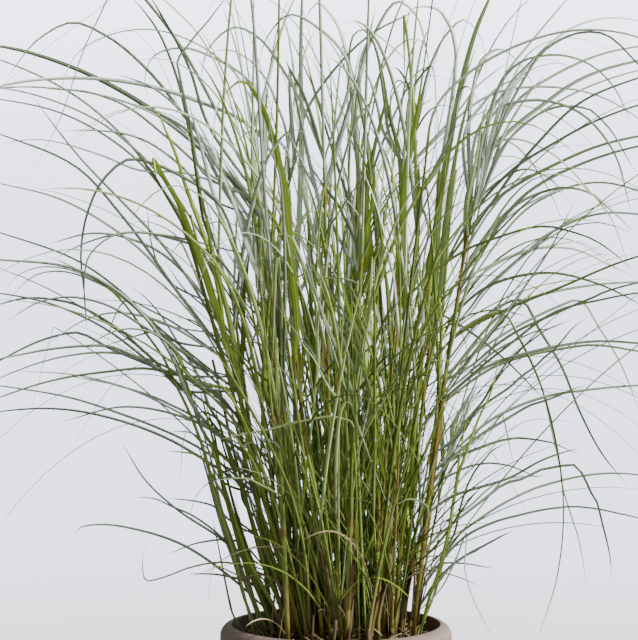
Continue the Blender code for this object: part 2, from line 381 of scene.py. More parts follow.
# ---------------------------------------------------------------- Culms
# Some eighty-five green canes that come up from the soil in one clump and
# splay outwards. They thin towards their tops and have three amber joints each.
SHOOTS = 90
SOLID_EVERY = 6
FIRST_SOLID = 3
CROWN_RADIUS = 0.088
GOLDEN_ANGLE = math.radians(137.508)
SEED = 54
CULM_RADIUS = 0.0026
CULM_TIP_SCALE = 0.55
CULM_HEIGHTS = (0.34, 0.50)
FOOT_DEPTH = 0.006
SPLAY = 0.10
SPLAY_CURVE = 0.10
SPLAY_SWING = (0.75, 1.25)
LEAN_SWING = math.radians(22)
NODE_HEIGHTS = (0.32, 0.62, 0.92)
CULM_SIDES = 8
FREE_SHOOTS = 58
FREE_MIDDLE = (0.014, 0.0)
FREE_CROWN = 0.064
FREE_CROWDING = 1.3
FREE_UNEVEN = (0.85, 1.1)
FREE_FAN = (0.100, 0.175)
FREE_CURVE = 0.02
FREE_SWING = 0.42
FREE_RISE = 0.35
FREE_HEIGHTS = (0.16, 0.46)
FREE_STOUTNESS = (0.34, 0.70)
FOOT_SWELLS = ((0.0, 1.05), (0.10, 1.15))
JOINT_SWELLS = ((-0.03, 1.0), (0.0, 1.22), (0.012, 1.1), (0.06, 1.2))
CANE_DARK = (0.066, 0.091, 0.011)
CANE_BRIGHT = (0.168, 0.208, 0.020)
CANE_BLOOM = (0.18, 0.27, 0.08)
PALE_FIBRE = (0.31, 0.36, 0.045)
DARK_FIBRE = (0.030, 0.032, 0.006)
CANE_AMBER = (0.150, 0.085, 0.016)
JOINT_BROWN = (0.13, 0.080, 0.018)
FOOT_TAN = (0.150, 0.112, 0.020)
BLADE_WIDTHS = (0.85, 1.15)
LOW_SHOOT_SHARE = 0.35
HABITS = (
    {"collar": (0.30, 0.44), "turn": (20, 60), "reach": (0.28, 0.36),
     "rise": (0.13, 0.21), "fall": (0.12, 0.24)},
    {"collar": (0.56, 0.70), "turn": (-50, -10), "reach": (0.22, 0.31),
     "rise": (0.18, 0.26), "fall": (0.05, 0.16)},
    {"collar": (0.93, 0.97), "turn": (-25, 25), "reach": (0.06, 0.15),
     "rise": (0.20, 0.28), "fall": (0.00, 0.02)},
)


def heading(turn):
    """Level unit vector at an angle from +X."""
    return Vector((math.cos(turn), math.sin(turn), 0))


def shoot(index):
    """Where a shoot stands and how it leans, with the habit drawn for each of its blades."""
    dice = random.Random(SEED * 1000 + index)
    share = math.sqrt((index + 0.5) / SHOOTS)
    turn = index * GOLDEN_ANGLE
    grown = {
        "foot": heading(turn) * CROWN_RADIUS * share,
        "lean": turn + dice.uniform(-LEAN_SWING, LEAN_SWING),
        "splay": share * dice.uniform(*SPLAY_SWING),
        "height": dice.uniform(*CULM_HEIGHTS),
        "blades": [],
    }
    side = dice.choice((-1, 1))
    for habit in HABITS:
        blade = {trait: dice.uniform(*limits) for trait, limits in habit.items()}
        blade["turn"] = grown["lean"] + side * math.radians(blade["turn"])
        blade["width"] = dice.uniform(*BLADE_WIDTHS)
        grown["blades"].append(blade)
    if share < LOW_SHOOT_SHARE:
        del grown["blades"][0]
    return grown


def culm_point(grown, rise):
    """Point on a culm's axis at a height above its foot: it leans out more the higher it gets."""
    out = grown["splay"] * (SPLAY * rise + grown.get("curve", SPLAY_CURVE) * rise * rise)
    level = grown["foot"] + heading(grown["lean"]) * out
    return level + Vector((0, 0, SOIL_EDGE - FOOT_DEPTH + rise))


def culm_scale(share):
    """Thickness of a culm at a share of its height, against its thickness at the foot."""
    return 1 + (CULM_TIP_SCALE - 1) * share


class Bundle:
    """Many thin swept shapes that end up as one mesh, with a UV map and traits for each shape."""

    def __init__(self):
        self.corners = []
        self.faces = []
        self.uvs = []
        self.traits = []
        self.count = 0

    def add(self, path, across, section, scales, traits, twist=0.0):
        """Sweep a closed section along a path. across is the section's first sideways direction."""
        path = np.asarray(path, float)
        rings, sides = len(path), len(section)
        along = np.gradient(path, axis=0)
        along /= np.linalg.norm(along, axis=1)[:, None]
        lengths = np.concatenate([[0], np.cumsum(np.linalg.norm(np.diff(path, axis=0), axis=1))])
        shares = lengths / lengths[-1]
        side = np.asarray(across, float)
        for ring in range(rings):
            side = side - along[ring] * (side @ along[ring])
            side /= np.linalg.norm(side)
            up = np.cross(along[ring], side)
            angle = twist * shares[ring] ** 1.5
            right = side * math.cos(angle) + up * math.sin(angle)
            raised = up * math.cos(angle) - side * math.sin(angle)
            for x, y in section:
                self.corners.append(path[ring] + (right * x + raised * y) * scales[ring])
                self.traits.append(traits)
        for ring in range(rings - 1):
            for corner in range(sides):
                near = self.count + ring * sides + corner
                last = self.count + ring * sides + (corner + 1) % sides
                self.faces.append((near, last, last + sides, near + sides))
                left, right = corner / sides, (corner + 1) / sides
                low, high = shares[ring], shares[ring + 1]
                self.uvs += [(left, low), (right, low), (right, high), (left, high)]
        top = self.count + (rings - 1) * sides
        self.faces.append(tuple(range(self.count + sides - 1, self.count - 1, -1)))
        self.faces.append(tuple(range(top, top + sides)))
        self.uvs += [(0.5, 0.0)] * sides + [(0.5, 1.0)] * sides
        self.count += rings * sides

    def grow(self, name, material):
        """Turn the bundle into a piece that rides on the object's one body."""
        made = joined_piece(name, self.corners, self.faces, material)
        uv = made.data.uv_layers.new(name="UVMap")
        uv.data.foreach_set("uv", np.array(self.uvs, np.float32).ravel())
        traits = made.data.attributes.new("traits", "FLOAT_VECTOR", "POINT")
        traits.data.foreach_set("vector", np.array(self.traits, np.float32).ravel())
        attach(made, "root")
        return made


def circle(sides):
    """Round section of radius 1, anticlockwise."""
    turns = [2 * math.pi * corner / sides for corner in range(sides)]
    return [(math.cos(turn), math.sin(turn)) for turn in turns]


cane, tree, shader = new_material("green_cane")
where = node(tree, "UVMap").outputs[0]
along = node(tree, "SeparateXYZ", n0=where).outputs["Y"]
own = node(tree, "Attribute")
own.attribute_name = "traits"
tone, age, bloom = node(tree, "SeparateXYZ", n0=own.outputs["Vector"]).outputs
place = node(tree, "TexCoord").outputs["Object"]
stretched = node(tree, "Mapping", Vector=place, Scale=(420.0, 420.0, 14.0)).outputs[0]
fibres = node(tree, "TexNoise", Vector=stretched, Scale=1.0, Detail=4.0).outputs[0]
blotch = node(tree, "TexNoise", Vector=place, Scale=22.0, Detail=2.0).outputs[0]
green = blend_colours(tree, tone, CANE_DARK, CANE_BRIGHT)
green = blend_colours(tree, maths(tree, "MULTIPLY", bloom, 0.4), green, CANE_BLOOM)
green = blend_colours(tree, step_between(tree, fibres, 0.45, 0.7, 0.0, 0.6), green, PALE_FIBRE)
green = blend_colours(tree, step_between(tree, fibres, 0.32, 0.45, 0.7, 0.0), green, DARK_FIBRE)
ripeness = maths(tree, "ADD", blotch, maths(tree, "MULTIPLY", age, 0.35))
green = blend_colours(tree, step_between(tree, ripeness, 0.66, 0.86, 0.0, 0.8), green, CANE_AMBER)
for height in NODE_HEIGHTS:
    off = maths(tree, "ABSOLUTE", maths(tree, "SUBTRACT", along, height))
    green = blend_colours(tree, step_between(tree, off, 0.006, 0.016, 0.75, 0.0), green, JOINT_BROWN)
uneven_rise = maths(tree, "ADD", along, maths(tree, "MULTIPLY", fibres, 0.20))
green = blend_colours(tree, step_between(tree, uneven_rise, 0.10, 0.46, 0.8, 0.0), green, FOOT_TAN)
tree.links.new(green, shader.inputs["Base Color"])
shader.inputs["Roughness"].default_value = 0.55
shader.inputs["Specular IOR Level"].default_value = 0.25
bump = node(tree, "Bump", Strength=0.25, Distance=0.0004, Height=fibres)
tree.links.new(bump.outputs[0], shader.inputs["Normal"])


def free_shoot(index):
    """A shoot between the solid ones: thinner, with its foot nearer the middle and a freer lean."""
    dice = random.Random(SEED * 5000 + index)
    share = math.sqrt((index + 0.5) / FREE_SHOOTS)
    turn = index * GOLDEN_ANGLE + 1
    foot = heading(turn) * FREE_CROWN * share**FREE_CROWDING * dice.uniform(*FREE_UNEVEN)
    foot = foot + Vector((*FREE_MIDDLE, 0))
    fanned = heading(turn + dice.gauss(0, FREE_SWING)) * dice.uniform(*FREE_FAN) * share
    away = fanned - foot
    return {
        "foot": foot,
        "lean": math.atan2(away.y, away.x),
        "splay": away.length / (SPLAY * FREE_RISE + FREE_CURVE * FREE_RISE**2),
        "curve": FREE_CURVE,
        "height": dice.uniform(*FREE_HEIGHTS),
        "stoutness": dice.uniform(*FREE_STOUTNESS),
    }


# Canes of the front view: depths of foot and top in metres, radius in millimetres,
# tone, age and bloom, and points from the soil up in millimetres. A radius is read
# with the soft edge that a cane has in the picture, and is trimmed for it.
CANE_TRIM = 1150
CANE_RINGS = 22
CANE_TAPER = 0.4
FRONT_CANES = (
    ((-0.040, -0.050), 2.6, (0.95, 0.10, 0.0), (-36, 192), (-46, 236), (-57, 279), (-70, 321), (-83, 362),
     (-94, 410), (-102, 457), (-114, 503), (-125, 545), (-140, 592), (-151, 633)),
    ((-0.060, -0.020), 2.4, (0.75, 0.35, 0.0), (-14, 192), (-18, 238), (-25, 275), (-36, 317), (-47, 358),
     (-55, 400), (-60, 441), (-65, 483), (-69, 524), (-72, 566), (-78, 607), (-81, 649), (-84, 690)),
    ((-0.045, -0.060), 2.5, (0.60, 0.75, 0.0), (-6, 192), (-14, 275), (-21, 317), (-27, 369), (-34, 420),
     (-39, 462), (-42, 503), (-44, 545), (-47, 586)),
    ((-0.030, 0.010), 2.2, (0.55, 0.80, 0.0), (18, 192), (17, 275), (15, 338), (14, 400), (17, 452),
     (19, 503), (21, 555), (23, 607), (26, 649), (29, 700)),
    ((-0.055, -0.070), 2.6, (0.90, 0.45, 0.0), (44, 192), (43, 275), (44, 338), (41, 379), (37, 420),
     (34, 462), (27, 493)),
    ((-0.040, 0.000), 2.5, (1.00, 0.10, 0.0), (59, 192), (56, 255), (52, 317), (51, 369), (56, 420),
     (61, 472), (64, 514), (67, 566), (70, 607), (73, 649), (76, 690)),
    ((-0.030, -0.040), 2.8, (0.95, 0.20, 0.0), (60, 192), (63, 225), (66, 275), (73, 332), (79, 379),
     (83, 431), (88, 483), (93, 524), (98, 566), (102, 607), (105, 649), (108, 690)),
    ((0.000, 0.020), 2.4, (0.90, 0.30, 0.1), (68, 192), (78, 260), (88, 296), (95, 338), (99, 379),
     (104, 426), (108, 483), (111, 535), (115, 586), (119, 638), (125, 680)),
    ((-0.015, -0.060), 2.4, (0.45, 0.95, 0.0), (72, 192), (83, 234), (90, 275), (97, 317), (101, 358),
     (108, 410), (113, 457), (119, 498), (125, 540), (131, 581), (135, 617), (141, 659)),
    ((0.010, 0.040), 2.6, (0.15, 0.10, 0.0), (-48, 192), (-59, 234), (-73, 275), (-87, 317), (-98, 358),
     (-109, 400), (-118, 441), (-128, 483)),
    ((-0.010, -0.030), 2.4, (0.10, 0.20, 0.0), (-34, 192), (-49, 255), (-67, 296), (-83, 338), (-91, 369),
     (-99, 410), (-107, 452)),
    ((-0.065, -0.030), 2.2, (0.40, 0.55, 0.0), (5, 192), (1, 275), (-3, 338), (-8, 400), (-11, 441),
     (-14, 493), (-16, 545), (-14, 597), (-10, 649)),
)


def in_front_view(x, z, depth):
    """Place in space, at a depth, of a point (x, z) in millimetres on the plane of the pot's axis."""
    scale = (depth - EYE.y) / -EYE.y
    return np.array([EYE.x + (x / 1000 - EYE.x) * scale, depth, EYE.z + (z / 1000 - EYE.z) * scale])


def smooth_path(points, count):
    """Points along a smooth curve through given points, evenly spread over its length."""
    points = np.array(points)
    gaps = np.linalg.norm(np.diff(points, axis=0), axis=1)
    at = np.concatenate([[0], np.cumsum(gaps)])
    pulls = np.gradient(points, at, axis=0)
    path = []
    for place in np.linspace(0, at[-1], count):
        i = min(int(np.searchsorted(at, place, side="right")) - 1, len(gaps) - 1)
        t = (place - at[i]) / gaps[i]
        path.append(
            (2 * t**3 - 3 * t * t + 1) * points[i]
            + (t**3 - 2 * t * t + t) * gaps[i] * pulls[i]
            + (3 * t * t - 2 * t**3) * points[i + 1]
            + (t**3 - t * t) * gaps[i] * pulls[i + 1]
        )
    return np.array(path)


solid_shoots = [shoot(index) for index in range(FIRST_SOLID, SHOOTS, SOLID_EVERY)]
free_shoots = [free_shoot(index) for index in range(FREE_SHOOTS)]
shoots = solid_shoots + free_shoots
swells = list(FOOT_SWELLS)
for joint in NODE_HEIGHTS:
    swells += [(joint + offset, swell) for offset, swell in JOINT_SWELLS]
swells.append((1.0, 1.0))

dice = random.Random(21)
canes = Bundle()
for grown in shoots:
    path = [culm_point(grown, share * grown["height"]) for share, swell in swells]
    stout = CULM_RADIUS * grown.get("stoutness", 1.0)
    scales = [stout * culm_scale(share) * swell for share, swell in swells]
    traits = (dice.random(), dice.random(), dice.random() ** 2)
    canes.add(path, (1, 0, 0), circle(CULM_SIDES), scales, traits)
for (foot_depth, top_depth), radius, traits, *marks in FRONT_CANES:
    depths = np.linspace(foot_depth, top_depth, len(marks))
    points = [in_front_view(x, z, depth) for (x, z), depth in zip(marks, depths)]
    path = smooth_path(points, CANE_RINGS)
    thinning = 1 - CANE_TAPER * np.linspace(0, 1, CANE_RINGS)
    canes.add(path, (1, 0, 0), circle(CULM_SIDES), radius / CANE_TRIM * thinning, traits)
culms = canes.grow("culms_fine", cane)
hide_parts(*[f"culm_{number:02d}" for number in range(1, len(solid_shoots) + 1)])


# ---------------------------------------------------------------- Blades
# Long narrow leaves folded along a pale midrib, green above and blue-grey
# below. They leave the canes at every height, arch out and end in fine tips.
RINGS = 18
FOLD = 0.62
MIDRIB = 0.09
FOLDED = ((0, 0), (1, FOLD), (0, MIDRIB), (-1, FOLD))  # keel, right edge, midrib and left edge
BLADE_LEAN = 0.12
BLADE_STRAIGHT_SHARE = 0.6
BLADE_CREST_OUT = 0.55
BLADE_CREST_RISE = 1.25
BLADE_WIDTH = 0.007
BLADE_BASE_SCALE = 0.6
BLADE_BASE_SPAN = 0.22
TAPER_START, TAPER_SPAN, TAPER_LOSS = 0.40, 0.60, 0.55
TIP_START, TIP_SPAN, TIP_LOSS = 0.86, 0.14, 0.88
SLIMNESS = {"low": 0.44, "middle": 0.72, "top": 0.46}
END_WIDTH = 0.7
TWIST = 0.8
# Tones darken low in the clump and brighten high up: painted shade of the clump's depths.
LOW_TONES = (0.0, 0.16)
TOP_TONES = (0.15, 0.75)
TOP_BLOOMS = (0.6, 1.0)
BRIGHTER_FROM = 0.30
BRIGHTER_SPAN = 0.42
LEAF_TONE, TONE_GAIN, TONE_SWING = 0.20, 0.60, 0.30
BLOOM_RARITY, RARITY_LOSS = 3.4, 2.2
LEAST_BLOOM, BLOOM_GAIN = 0.1, 1.0
OLDEST = 0.88
LEAF_DARK = (0.070, 0.112, 0.014)
LEAF_BRIGHT = (0.375, 0.530, 0.060)
BACK_DARK = (0.074, 0.110, 0.016)
BACK_BRIGHT = (0.300, 0.405, 0.084)
BLUE_DARK = (0.150, 0.172, 0.166)
BLUE_BRIGHT = (0.660, 0.730, 0.710)
FURROW_GREEN = (0.070, 0.110, 0.014)
FURROW_BLUE = (0.150, 0.190, 0.170)
VEIN_DARK = (0.235, 0.320, 0.036)
VEIN_BRIGHT = (0.640, 0.780, 0.130)
VEIN_BLUE = (0.90, 0.98, 0.88)
MARGIN_BLUE = (0.84, 0.92, 0.83)
DRY_TIP = (0.38, 0.29, 0.13)
STRAW_DARK = (0.070, 0.034, 0.014)
STRAW_BRIGHT = (0.52, 0.42, 0.24)
GLOW_TINT = (1.0, 1.14, 0.64)
GLOW_SHARE = 0.34


def bezier(start, first, second, end, count):
    """Points along a cubic curve."""
    t = np.linspace(0, 1, count)[:, None]
    s = 1 - t
    corners = [np.array(corner) for corner in (start, first, second, end)]
    return s**3 * corners[0] + 3 * s * s * t * corners[1] + 3 * s * t * t * corners[2] + t**3 * corners[3]


def blade_path(grown, blade, count):
    """Points along a blade: up beside its culm, over its crest and out to the tip."""
    rise_at_collar = blade["collar"] * grown["height"]
    away = heading(blade["turn"])
    clearance = CULM_RADIUS * culm_scale(blade["collar"])
    collar = culm_point(grown, rise_at_collar) + away * clearance
    slope = grown["splay"] * (SPLAY + 2 * SPLAY_CURVE * rise_at_collar) + BLADE_LEAN
    up = Vector((0, 0, 1))
    first = collar + (up + away * slope) * BLADE_STRAIGHT_SHARE * blade["rise"]
    second = collar + away * BLADE_CREST_OUT * blade["reach"] + up * BLADE_CREST_RISE * blade["rise"]
    tip = collar + away * blade["reach"] + up * (blade["rise"] - blade["fall"])
    return bezier(collar, first, second, tip, count)


def blade_widths(count, width):
    """Half width of a blade along its length, narrow at the collar and fine at the tip."""
    shares = np.linspace(0, 1, count)
    base = BLADE_BASE_SCALE + (1 - BLADE_BASE_SCALE) * np.minimum(1, shares / BLADE_BASE_SPAN)
    taper = 1 - TAPER_LOSS * np.maximum(0, (shares - TAPER_START) / TAPER_SPAN) ** 1.3
    taper = taper * (1 - TIP_LOSS * np.maximum(0, (shares - TIP_START) / TIP_SPAN) ** 1.6)
    return base * taper * width / 2


def level_across(path):
    """Level direction square to the way that a path heads out."""
    out = path[-1] - path[0]
    out[2] = 0
    out /= max(np.linalg.norm(out), 1e-6)
    return np.array([-out[1], out[0], 0])


leaf, tree, shader = new_material("grass_blade")
where = node(tree, "UVMap").outputs[0]
parts = node(tree, "SeparateXYZ", n0=where)
across, along = parts.outputs["X"], parts.outputs["Y"]
own = node(tree, "Attribute")
own.attribute_name = "traits"
tone, age, bloom = node(tree, "SeparateXYZ", n0=own.outputs["Vector"]).outputs
fold = maths(tree, "ABSOLUTE", maths(tree, "SUBTRACT", across, 0.5))
upper = blend_colours(tree, tone, LEAF_DARK, LEAF_BRIGHT)
under = blend_colours(tree, tone, BACK_DARK, BACK_BRIGHT)
green = blend_colours(tree, step_between(tree, fold, 0.235, 0.262), upper, under)
blue_grey = blend_colours(tree, tone, BLUE_DARK, BLUE_BRIGHT)
green = blend_colours(tree, maths(tree, "MULTIPLY", bloom, 0.92), green, blue_grey)
broad = node(tree, "Mapping", Vector=where, Scale=(11.0, 1.2, 1.0)).outputs[0]
moved = node(tree, "VectorMath", n0=broad, n1=own.outputs["Vector"]).outputs[0]
bands = node(tree, "TexNoise", Vector=moved, Scale=1.0, Detail=2.0).outputs[0]
lines = node(tree, "Mapping", Vector=where, Scale=(70.0, 3.0, 1.0)).outputs[0]
veins = node(tree, "TexNoise", Vector=lines, Scale=1.0, Detail=3.0).outputs[0]
fine = node(tree, "Mapping", Vector=where, Scale=(23.0, 0.8, 1.0)).outputs[0]
moved = node(tree, "VectorMath", n0=own.outputs["Vector"], n1=fine).outputs[0]
furrows = node(tree, "TexNoise", Vector=moved, Scale=1.0, Detail=1.0).outputs[0]
furrowed = step_between(tree, furrows, 0.48, 0.58, 0.0, 0.55)
green = blend_colours(tree, furrowed, green, blend_colours(tree, bloom, FURROW_GREEN, FURROW_BLUE))
banded = step_between(tree, bands, 0.50, 0.58, 0.0, 0.70)
stripes = maths(tree, "ADD", banded, step_between(tree, veins, 0.4, 0.7, 0.0, 0.2))
light = blend_colours(tree, tone, VEIN_DARK, VEIN_BRIGHT)
green = blend_colours(tree, stripes, green, blend_colours(tree, bloom, light, VEIN_BLUE))
rib = step_between(tree, fold, 0.008, 0.030, 0.6, 0.0)
green = blend_colours(tree, rib, green, light)
from_margin = maths(tree, "ABSOLUTE", maths(tree, "SUBTRACT", fold, 0.25))
margin = step_between(tree, from_margin, 0.015, 0.050, 0.75, 0.0)
green = blend_colours(tree, margin, green, blend_colours(tree, bloom, light, MARGIN_BLUE))
place = node(tree, "TexCoord").outputs["Object"]
mottle = node(tree, "TexNoise", Vector=place, Scale=30.0, Detail=3.0).outputs[0]
uneven_along = maths(tree, "ADD", along, maths(tree, "MULTIPLY", mottle, 0.10))
tip = step_between(tree, uneven_along, 0.93, 1.06, 0.0, 0.85)
tip = maths(tree, "MULTIPLY", tip, step_between(tree, age, 0.3, 0.9, 0.25, 1.0))
green = blend_colours(tree, tip, green, DRY_TIP)
uneven_age = maths(tree, "ADD", age, maths(tree, "MULTIPLY", mottle, 0.25))
dry = step_between(tree, uneven_age, 0.98, 1.12)
straw = blend_colours(tree, tone, STRAW_DARK, STRAW_BRIGHT)
green = blend_colours(tree, dry, green, straw)
tree.links.new(green, shader.inputs["Base Color"])
shader.inputs["Roughness"].default_value = 0.52
shader.inputs["Specular IOR Level"].default_value = 0.22
bump = node(tree, "Bump", Strength=0.3, Distance=0.0003, Height=veins)
tree.links.new(bump.outputs[0], shader.inputs["Normal"])
lit = blend_colours(tree, 1.0, green, GLOW_TINT, "MULTIPLY")
glow = node(tree, "BsdfTranslucent", Color=lit)
thin = node(tree, "MixShader", n0=GLOW_SHARE, n1=shader.outputs[0], n2=glow.outputs[0])
tree.links.new(thin.outputs[0], tree.nodes["Material Output"].inputs["Surface"])


def blade_traits(dice, height):
    """Tone, age and bloom of a blade: the higher it grows, the brighter and bluer; its darker tone low down
    is painted shade.
    """
    rise = min(1.0, max(0.0, (height - BRIGHTER_FROM) / BRIGHTER_SPAN))
    tone = min(1.0, max(0.0, dice.gauss(LEAF_TONE + TONE_GAIN * rise, TONE_SWING)))
    most_bloom = LEAST_BLOOM + BLOOM_GAIN * rise
    bloom = min(1.0, dice.random() ** (BLOOM_RARITY - RARITY_LOSS * rise) * most_bloom)
    return tone, dice.random() * OLDEST, bloom


dice = random.Random(31)
tiers = {tier: Bundle() for tier in SLIMNESS}
for grown in solid_shoots:
    for tier, blade in zip(list(SLIMNESS)[-len(grown["blades"]):], grown["blades"]):
        path = blade_path(grown, blade, RINGS)
        widths = blade_widths(RINGS, BLADE_WIDTH * blade["width"] * SLIMNESS[tier])
        widths = widths * np.linspace(1, END_WIDTH, RINGS)
        traits = blade_traits(dice, path[RINGS // 2][2])
        if tier == "top":
            traits = (dice.uniform(*TOP_TONES), traits[1], dice.uniform(*TOP_BLOOMS))
        # Blades of the low tier get dark tones: painted shade low in the clump.
        if tier == "low":
            traits = (dice.uniform(*LOW_TONES), traits[1], 0.0)
        tiers[tier].add(path, level_across(path), FOLDED, widths, traits, dice.uniform(-TWIST, TWIST))
for tier, bundle in tiers.items():
    blades = bundle.grow(f"blades_{tier}_fine", leaf)
    bearing = [tier != "low" or len(grown["blades"]) == len(HABITS) for grown in solid_shoots]
    numbers = [number for number, bears in enumerate(bearing, 1) if bears]
    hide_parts(*[f"blade_{number:02d}_{tier}" for number in numbers])


# ---------------------------------------------------------------- Blades between
# The rest of the foliage: blades from every cane and from the foot of the
# clump. Each bends over more and more along its length, and a few are snapped.
BOX_SHARE = 0.995
LOWEST = 0.15
RIM_ABOVE, RIM_INSIDE = 0.002, 0.004
ATTEMPTS = 30
SWAY = 0.04
ACROSS_TILT = 1.2
FREE_TWIST = 1.0
SWEEP = 0.15
FLANK = 0.135
SNAP_SHARE = 0.03
SNAP_PLACE = (0.65, 0.85)
SNAP_ANGLE = math.radians(165)

# For each habit: how many blades; the collar's place on its cane, as a share of its height; the
# spread of headings in radians; the lean at the collar and the droop at the tip, in degrees from
# upright; how late it bends over; length in metres and width in millimetres; the share kept of
# those that reach to the sides, the share that grows on the back canes, and a factor on the tone.
HABIT_RANGES = {
    "upright": {
        "count": 50, "collar": (0.30, 1.0), "turn": 1.6, "lean": (4, 24), "droop": (30, 105),
        "power": (1.4, 4.0), "length": (0.28, 0.48), "width": (2.6, 4.8), "sideways": 0.10,
        "behind": 0.7,
    },
    "wiry": {
        "count": 100, "collar": (0.05, 1.0), "turn": 1.7, "lean": (8, 42), "droop": (20, 80),
        "power": (0.8, 2.4), "length": (0.16, 0.38), "width": (1.8, 2.8), "sideways": 0.05,
        "shade": 0.6,
    },
    "side": {
        "count": 64, "collar": (0.20, 1.0), "turn": 0.5, "lean": (14, 38), "droop": (55, 105),
        "power": (0.8, 1.8), "length": (0.32, 0.54), "width": (2.4, 3.8), "sideways": 0.10,
        "behind": 0.5,
    },
    "hanging": {
        "count": 8, "collar": (0.5, 1.0), "turn": 0.6, "lean": (8, 28), "droop": (145, 178),
        "power": (1.2, 2.2), "length": (0.28, 0.46), "width": (1.6, 2.4), "sideways": 0.10,
    },
    "basal": {
        "count": 116, "collar": (0.0, 0.16), "turn": 1.6, "lean": (6, 30), "droop": (8, 60),
        "power": (1.0, 2.6), "length": (0.14, 0.50), "width": (2.0, 3.6), "sideways": 0.15,
        "shade": 1.1,
    },
    "crest": {
        "count": 36, "collar": (0.75, 1.0), "turn": 1.1, "lean": (2, 20), "droop": (60, 135),
        "power": (1.2, 3.0), "length": (0.28, 0.44), "width": (2.4, 4.4), "sideways": 0.10,
        "behind": 0.7,
    },
    "fine": {
        "count": 250, "collar": (0.0, 0.45), "turn": 2.4, "lean": (6, 40), "droop": (12, 75),
        "power": (0.8, 2.0), "length": (0.08, 0.26), "width": (1.4, 2.4), "sideways": 0.05,
        "shade": 1.2,
    },
    "outer": {
        "count": 14, "collar": (0.02, 0.30), "turn": 0.6, "lean": (22, 44), "droop": (60, 108),
        "power": (0.8, 1.6), "length": (0.20, 0.38), "width": (1.8, 3.0), "sideways": 0.8,
    },
}


def bending_path(start, turn, lean, droop, length, power, snap):
    """Path from a start that leans at first and droops at the tip, in degrees from upright."""
    shares = np.linspace(0, 1, RINGS)
    middles = (shares[1:] + shares[:-1]) / 2
    angles = np.radians(lean + (droop - lean) * middles**power)
    if snap:
        angles[middles > snap] = SNAP_ANGLE
    away = np.array(heading(turn))
    steps = np.sin(angles)[:, None] * away + np.cos(angles)[:, None] * np.array([0, 0, 1])
    travelled = np.cumsum(steps * length / (RINGS - 1), axis=0)
    return np.vstack([start, start + travelled])


def inside_box(path):
    """Whether a path stays inside the solids' box and clear of the pot's rim."""
    low = np.array(solid_box[0]) * BOX_SHARE
    high = np.array(solid_box[1]) * BOX_SHARE
    level = np.hypot(path[:, 0], path[:, 1])
    in_rim = (path[:, 2] < POT_HEIGHT + RIM_ABOVE) & (level > POT_MOUTH_RADIUS - RIM_INSIDE)
    in_box = (path[:, :2] > low[:2]).all() and (path < high).all() and path[:, 2].min() > LOWEST
    return in_box and not in_rim.any()


def free_blade(bundle, grown, habit, dice):
    """Grow one blade on a cane, drawn again until it stays inside the box."""
    for attempt in range(ATTEMPTS):
        start = np.array(culm_point(grown, dice.uniform(*habit["collar"]) * grown["height"]))
        outwards = math.atan2(start[1], start[0])
        turn = outwards + dice.gauss(0, habit["turn"])
        lean, droop = dice.uniform(*habit["lean"]), dice.uniform(*habit["droop"])
        snap = dice.uniform(*SNAP_PLACE) if dice.random() < SNAP_SHARE else 0
        length = dice.uniform(*habit["length"])
        path = bending_path(start, turn, lean, droop, length, dice.uniform(*habit["power"]), snap)
        sweep = np.array([-math.sin(turn), math.cos(turn)])
        path[:, :2] += sweep * dice.uniform(-SWAY, SWAY) * (np.linspace(0, 1, RINGS)[:, None] ** 2)
        beside = abs(path[-1][0] - path[0][0]) > SWEEP or abs(path[-1][0]) > FLANK
        crowded = beside and dice.random() > habit["sideways"]
        if inside_box(path) and not crowded:
            widths = blade_widths(RINGS, dice.uniform(*habit["width"]) / 1000)
            tone, age, bloom = blade_traits(dice, path[RINGS // 2][2])
            traits = (tone * habit.get("shade", 1.0), age, bloom)
            across = (*sweep, dice.uniform(-ACROSS_TILT, ACROSS_TILT))
            bundle.add(path, across, FOLDED, widths, traits, dice.uniform(-FREE_TWIST, FREE_TWIST))
            return


dice = random.Random(47)
back_shoots = [grown for grown in free_shoots if grown["foot"].y > 0]
for habit_name, habit in HABIT_RANGES.items():
    bundle = Bundle()
    for number in range(habit["count"]):
        choice = back_shoots if dice.random() < habit.get("behind", 0.0) else free_shoots
        free_blade(bundle, dice.choice(choice), habit, dice)
    blades = bundle.grow(f"blades_{habit_name}", leaf)


# ---------------------------------------------------------------- Blades of the front view
# The blades that give the clump its outline from the front. A row is one blade: depth
# of its tip in metres, width in millimetres, its kind, and points from collar to tip
# in millimetres. A kind is a tone, an age and a bloom, and each blade's tone differs a bit.
KINDS = {
    "bright": (1.00, 0.3, 0.00),
    "leafy": (0.60, 0.4, 0.05),
    "moss": (0.16, 0.5, 0.00),
    "sedge": (0.24, 0.5, 0.45),
    "dusk": (0.04, 0.5, 0.10),
    "green": (0.36, 0.4, 0.74),
    "olive": (0.14, 0.5, 0.64),
    "pale": (0.95, 0.2, 1.00),
    "teal": (0.30, 0.2, 1.00),
    "fresh": (0.95, 0.3, 0.35),
    "straw": (0.80, 1.0, 0.0),
}
FROM_SOIL = 215  # a row that starts higher springs from the nearest cane
BROAD = 4.5
IN_FRONT = -0.095
CANE_STEPS = 24
DEPTH_WEIGHT = 0.15
FRONT_START, BACK_START, SOIL_START = 0.9, 0.5, 0.3
LATE_REACH, EARLY_REACH = 1.4, 0.5
BLADE_TRIM = 1010
FRONT_RINGS = RINGS + 12
TONE_SPREAD = 0.12
FRONT_TILT = 0.4
FRONT_TWIST = 0.4
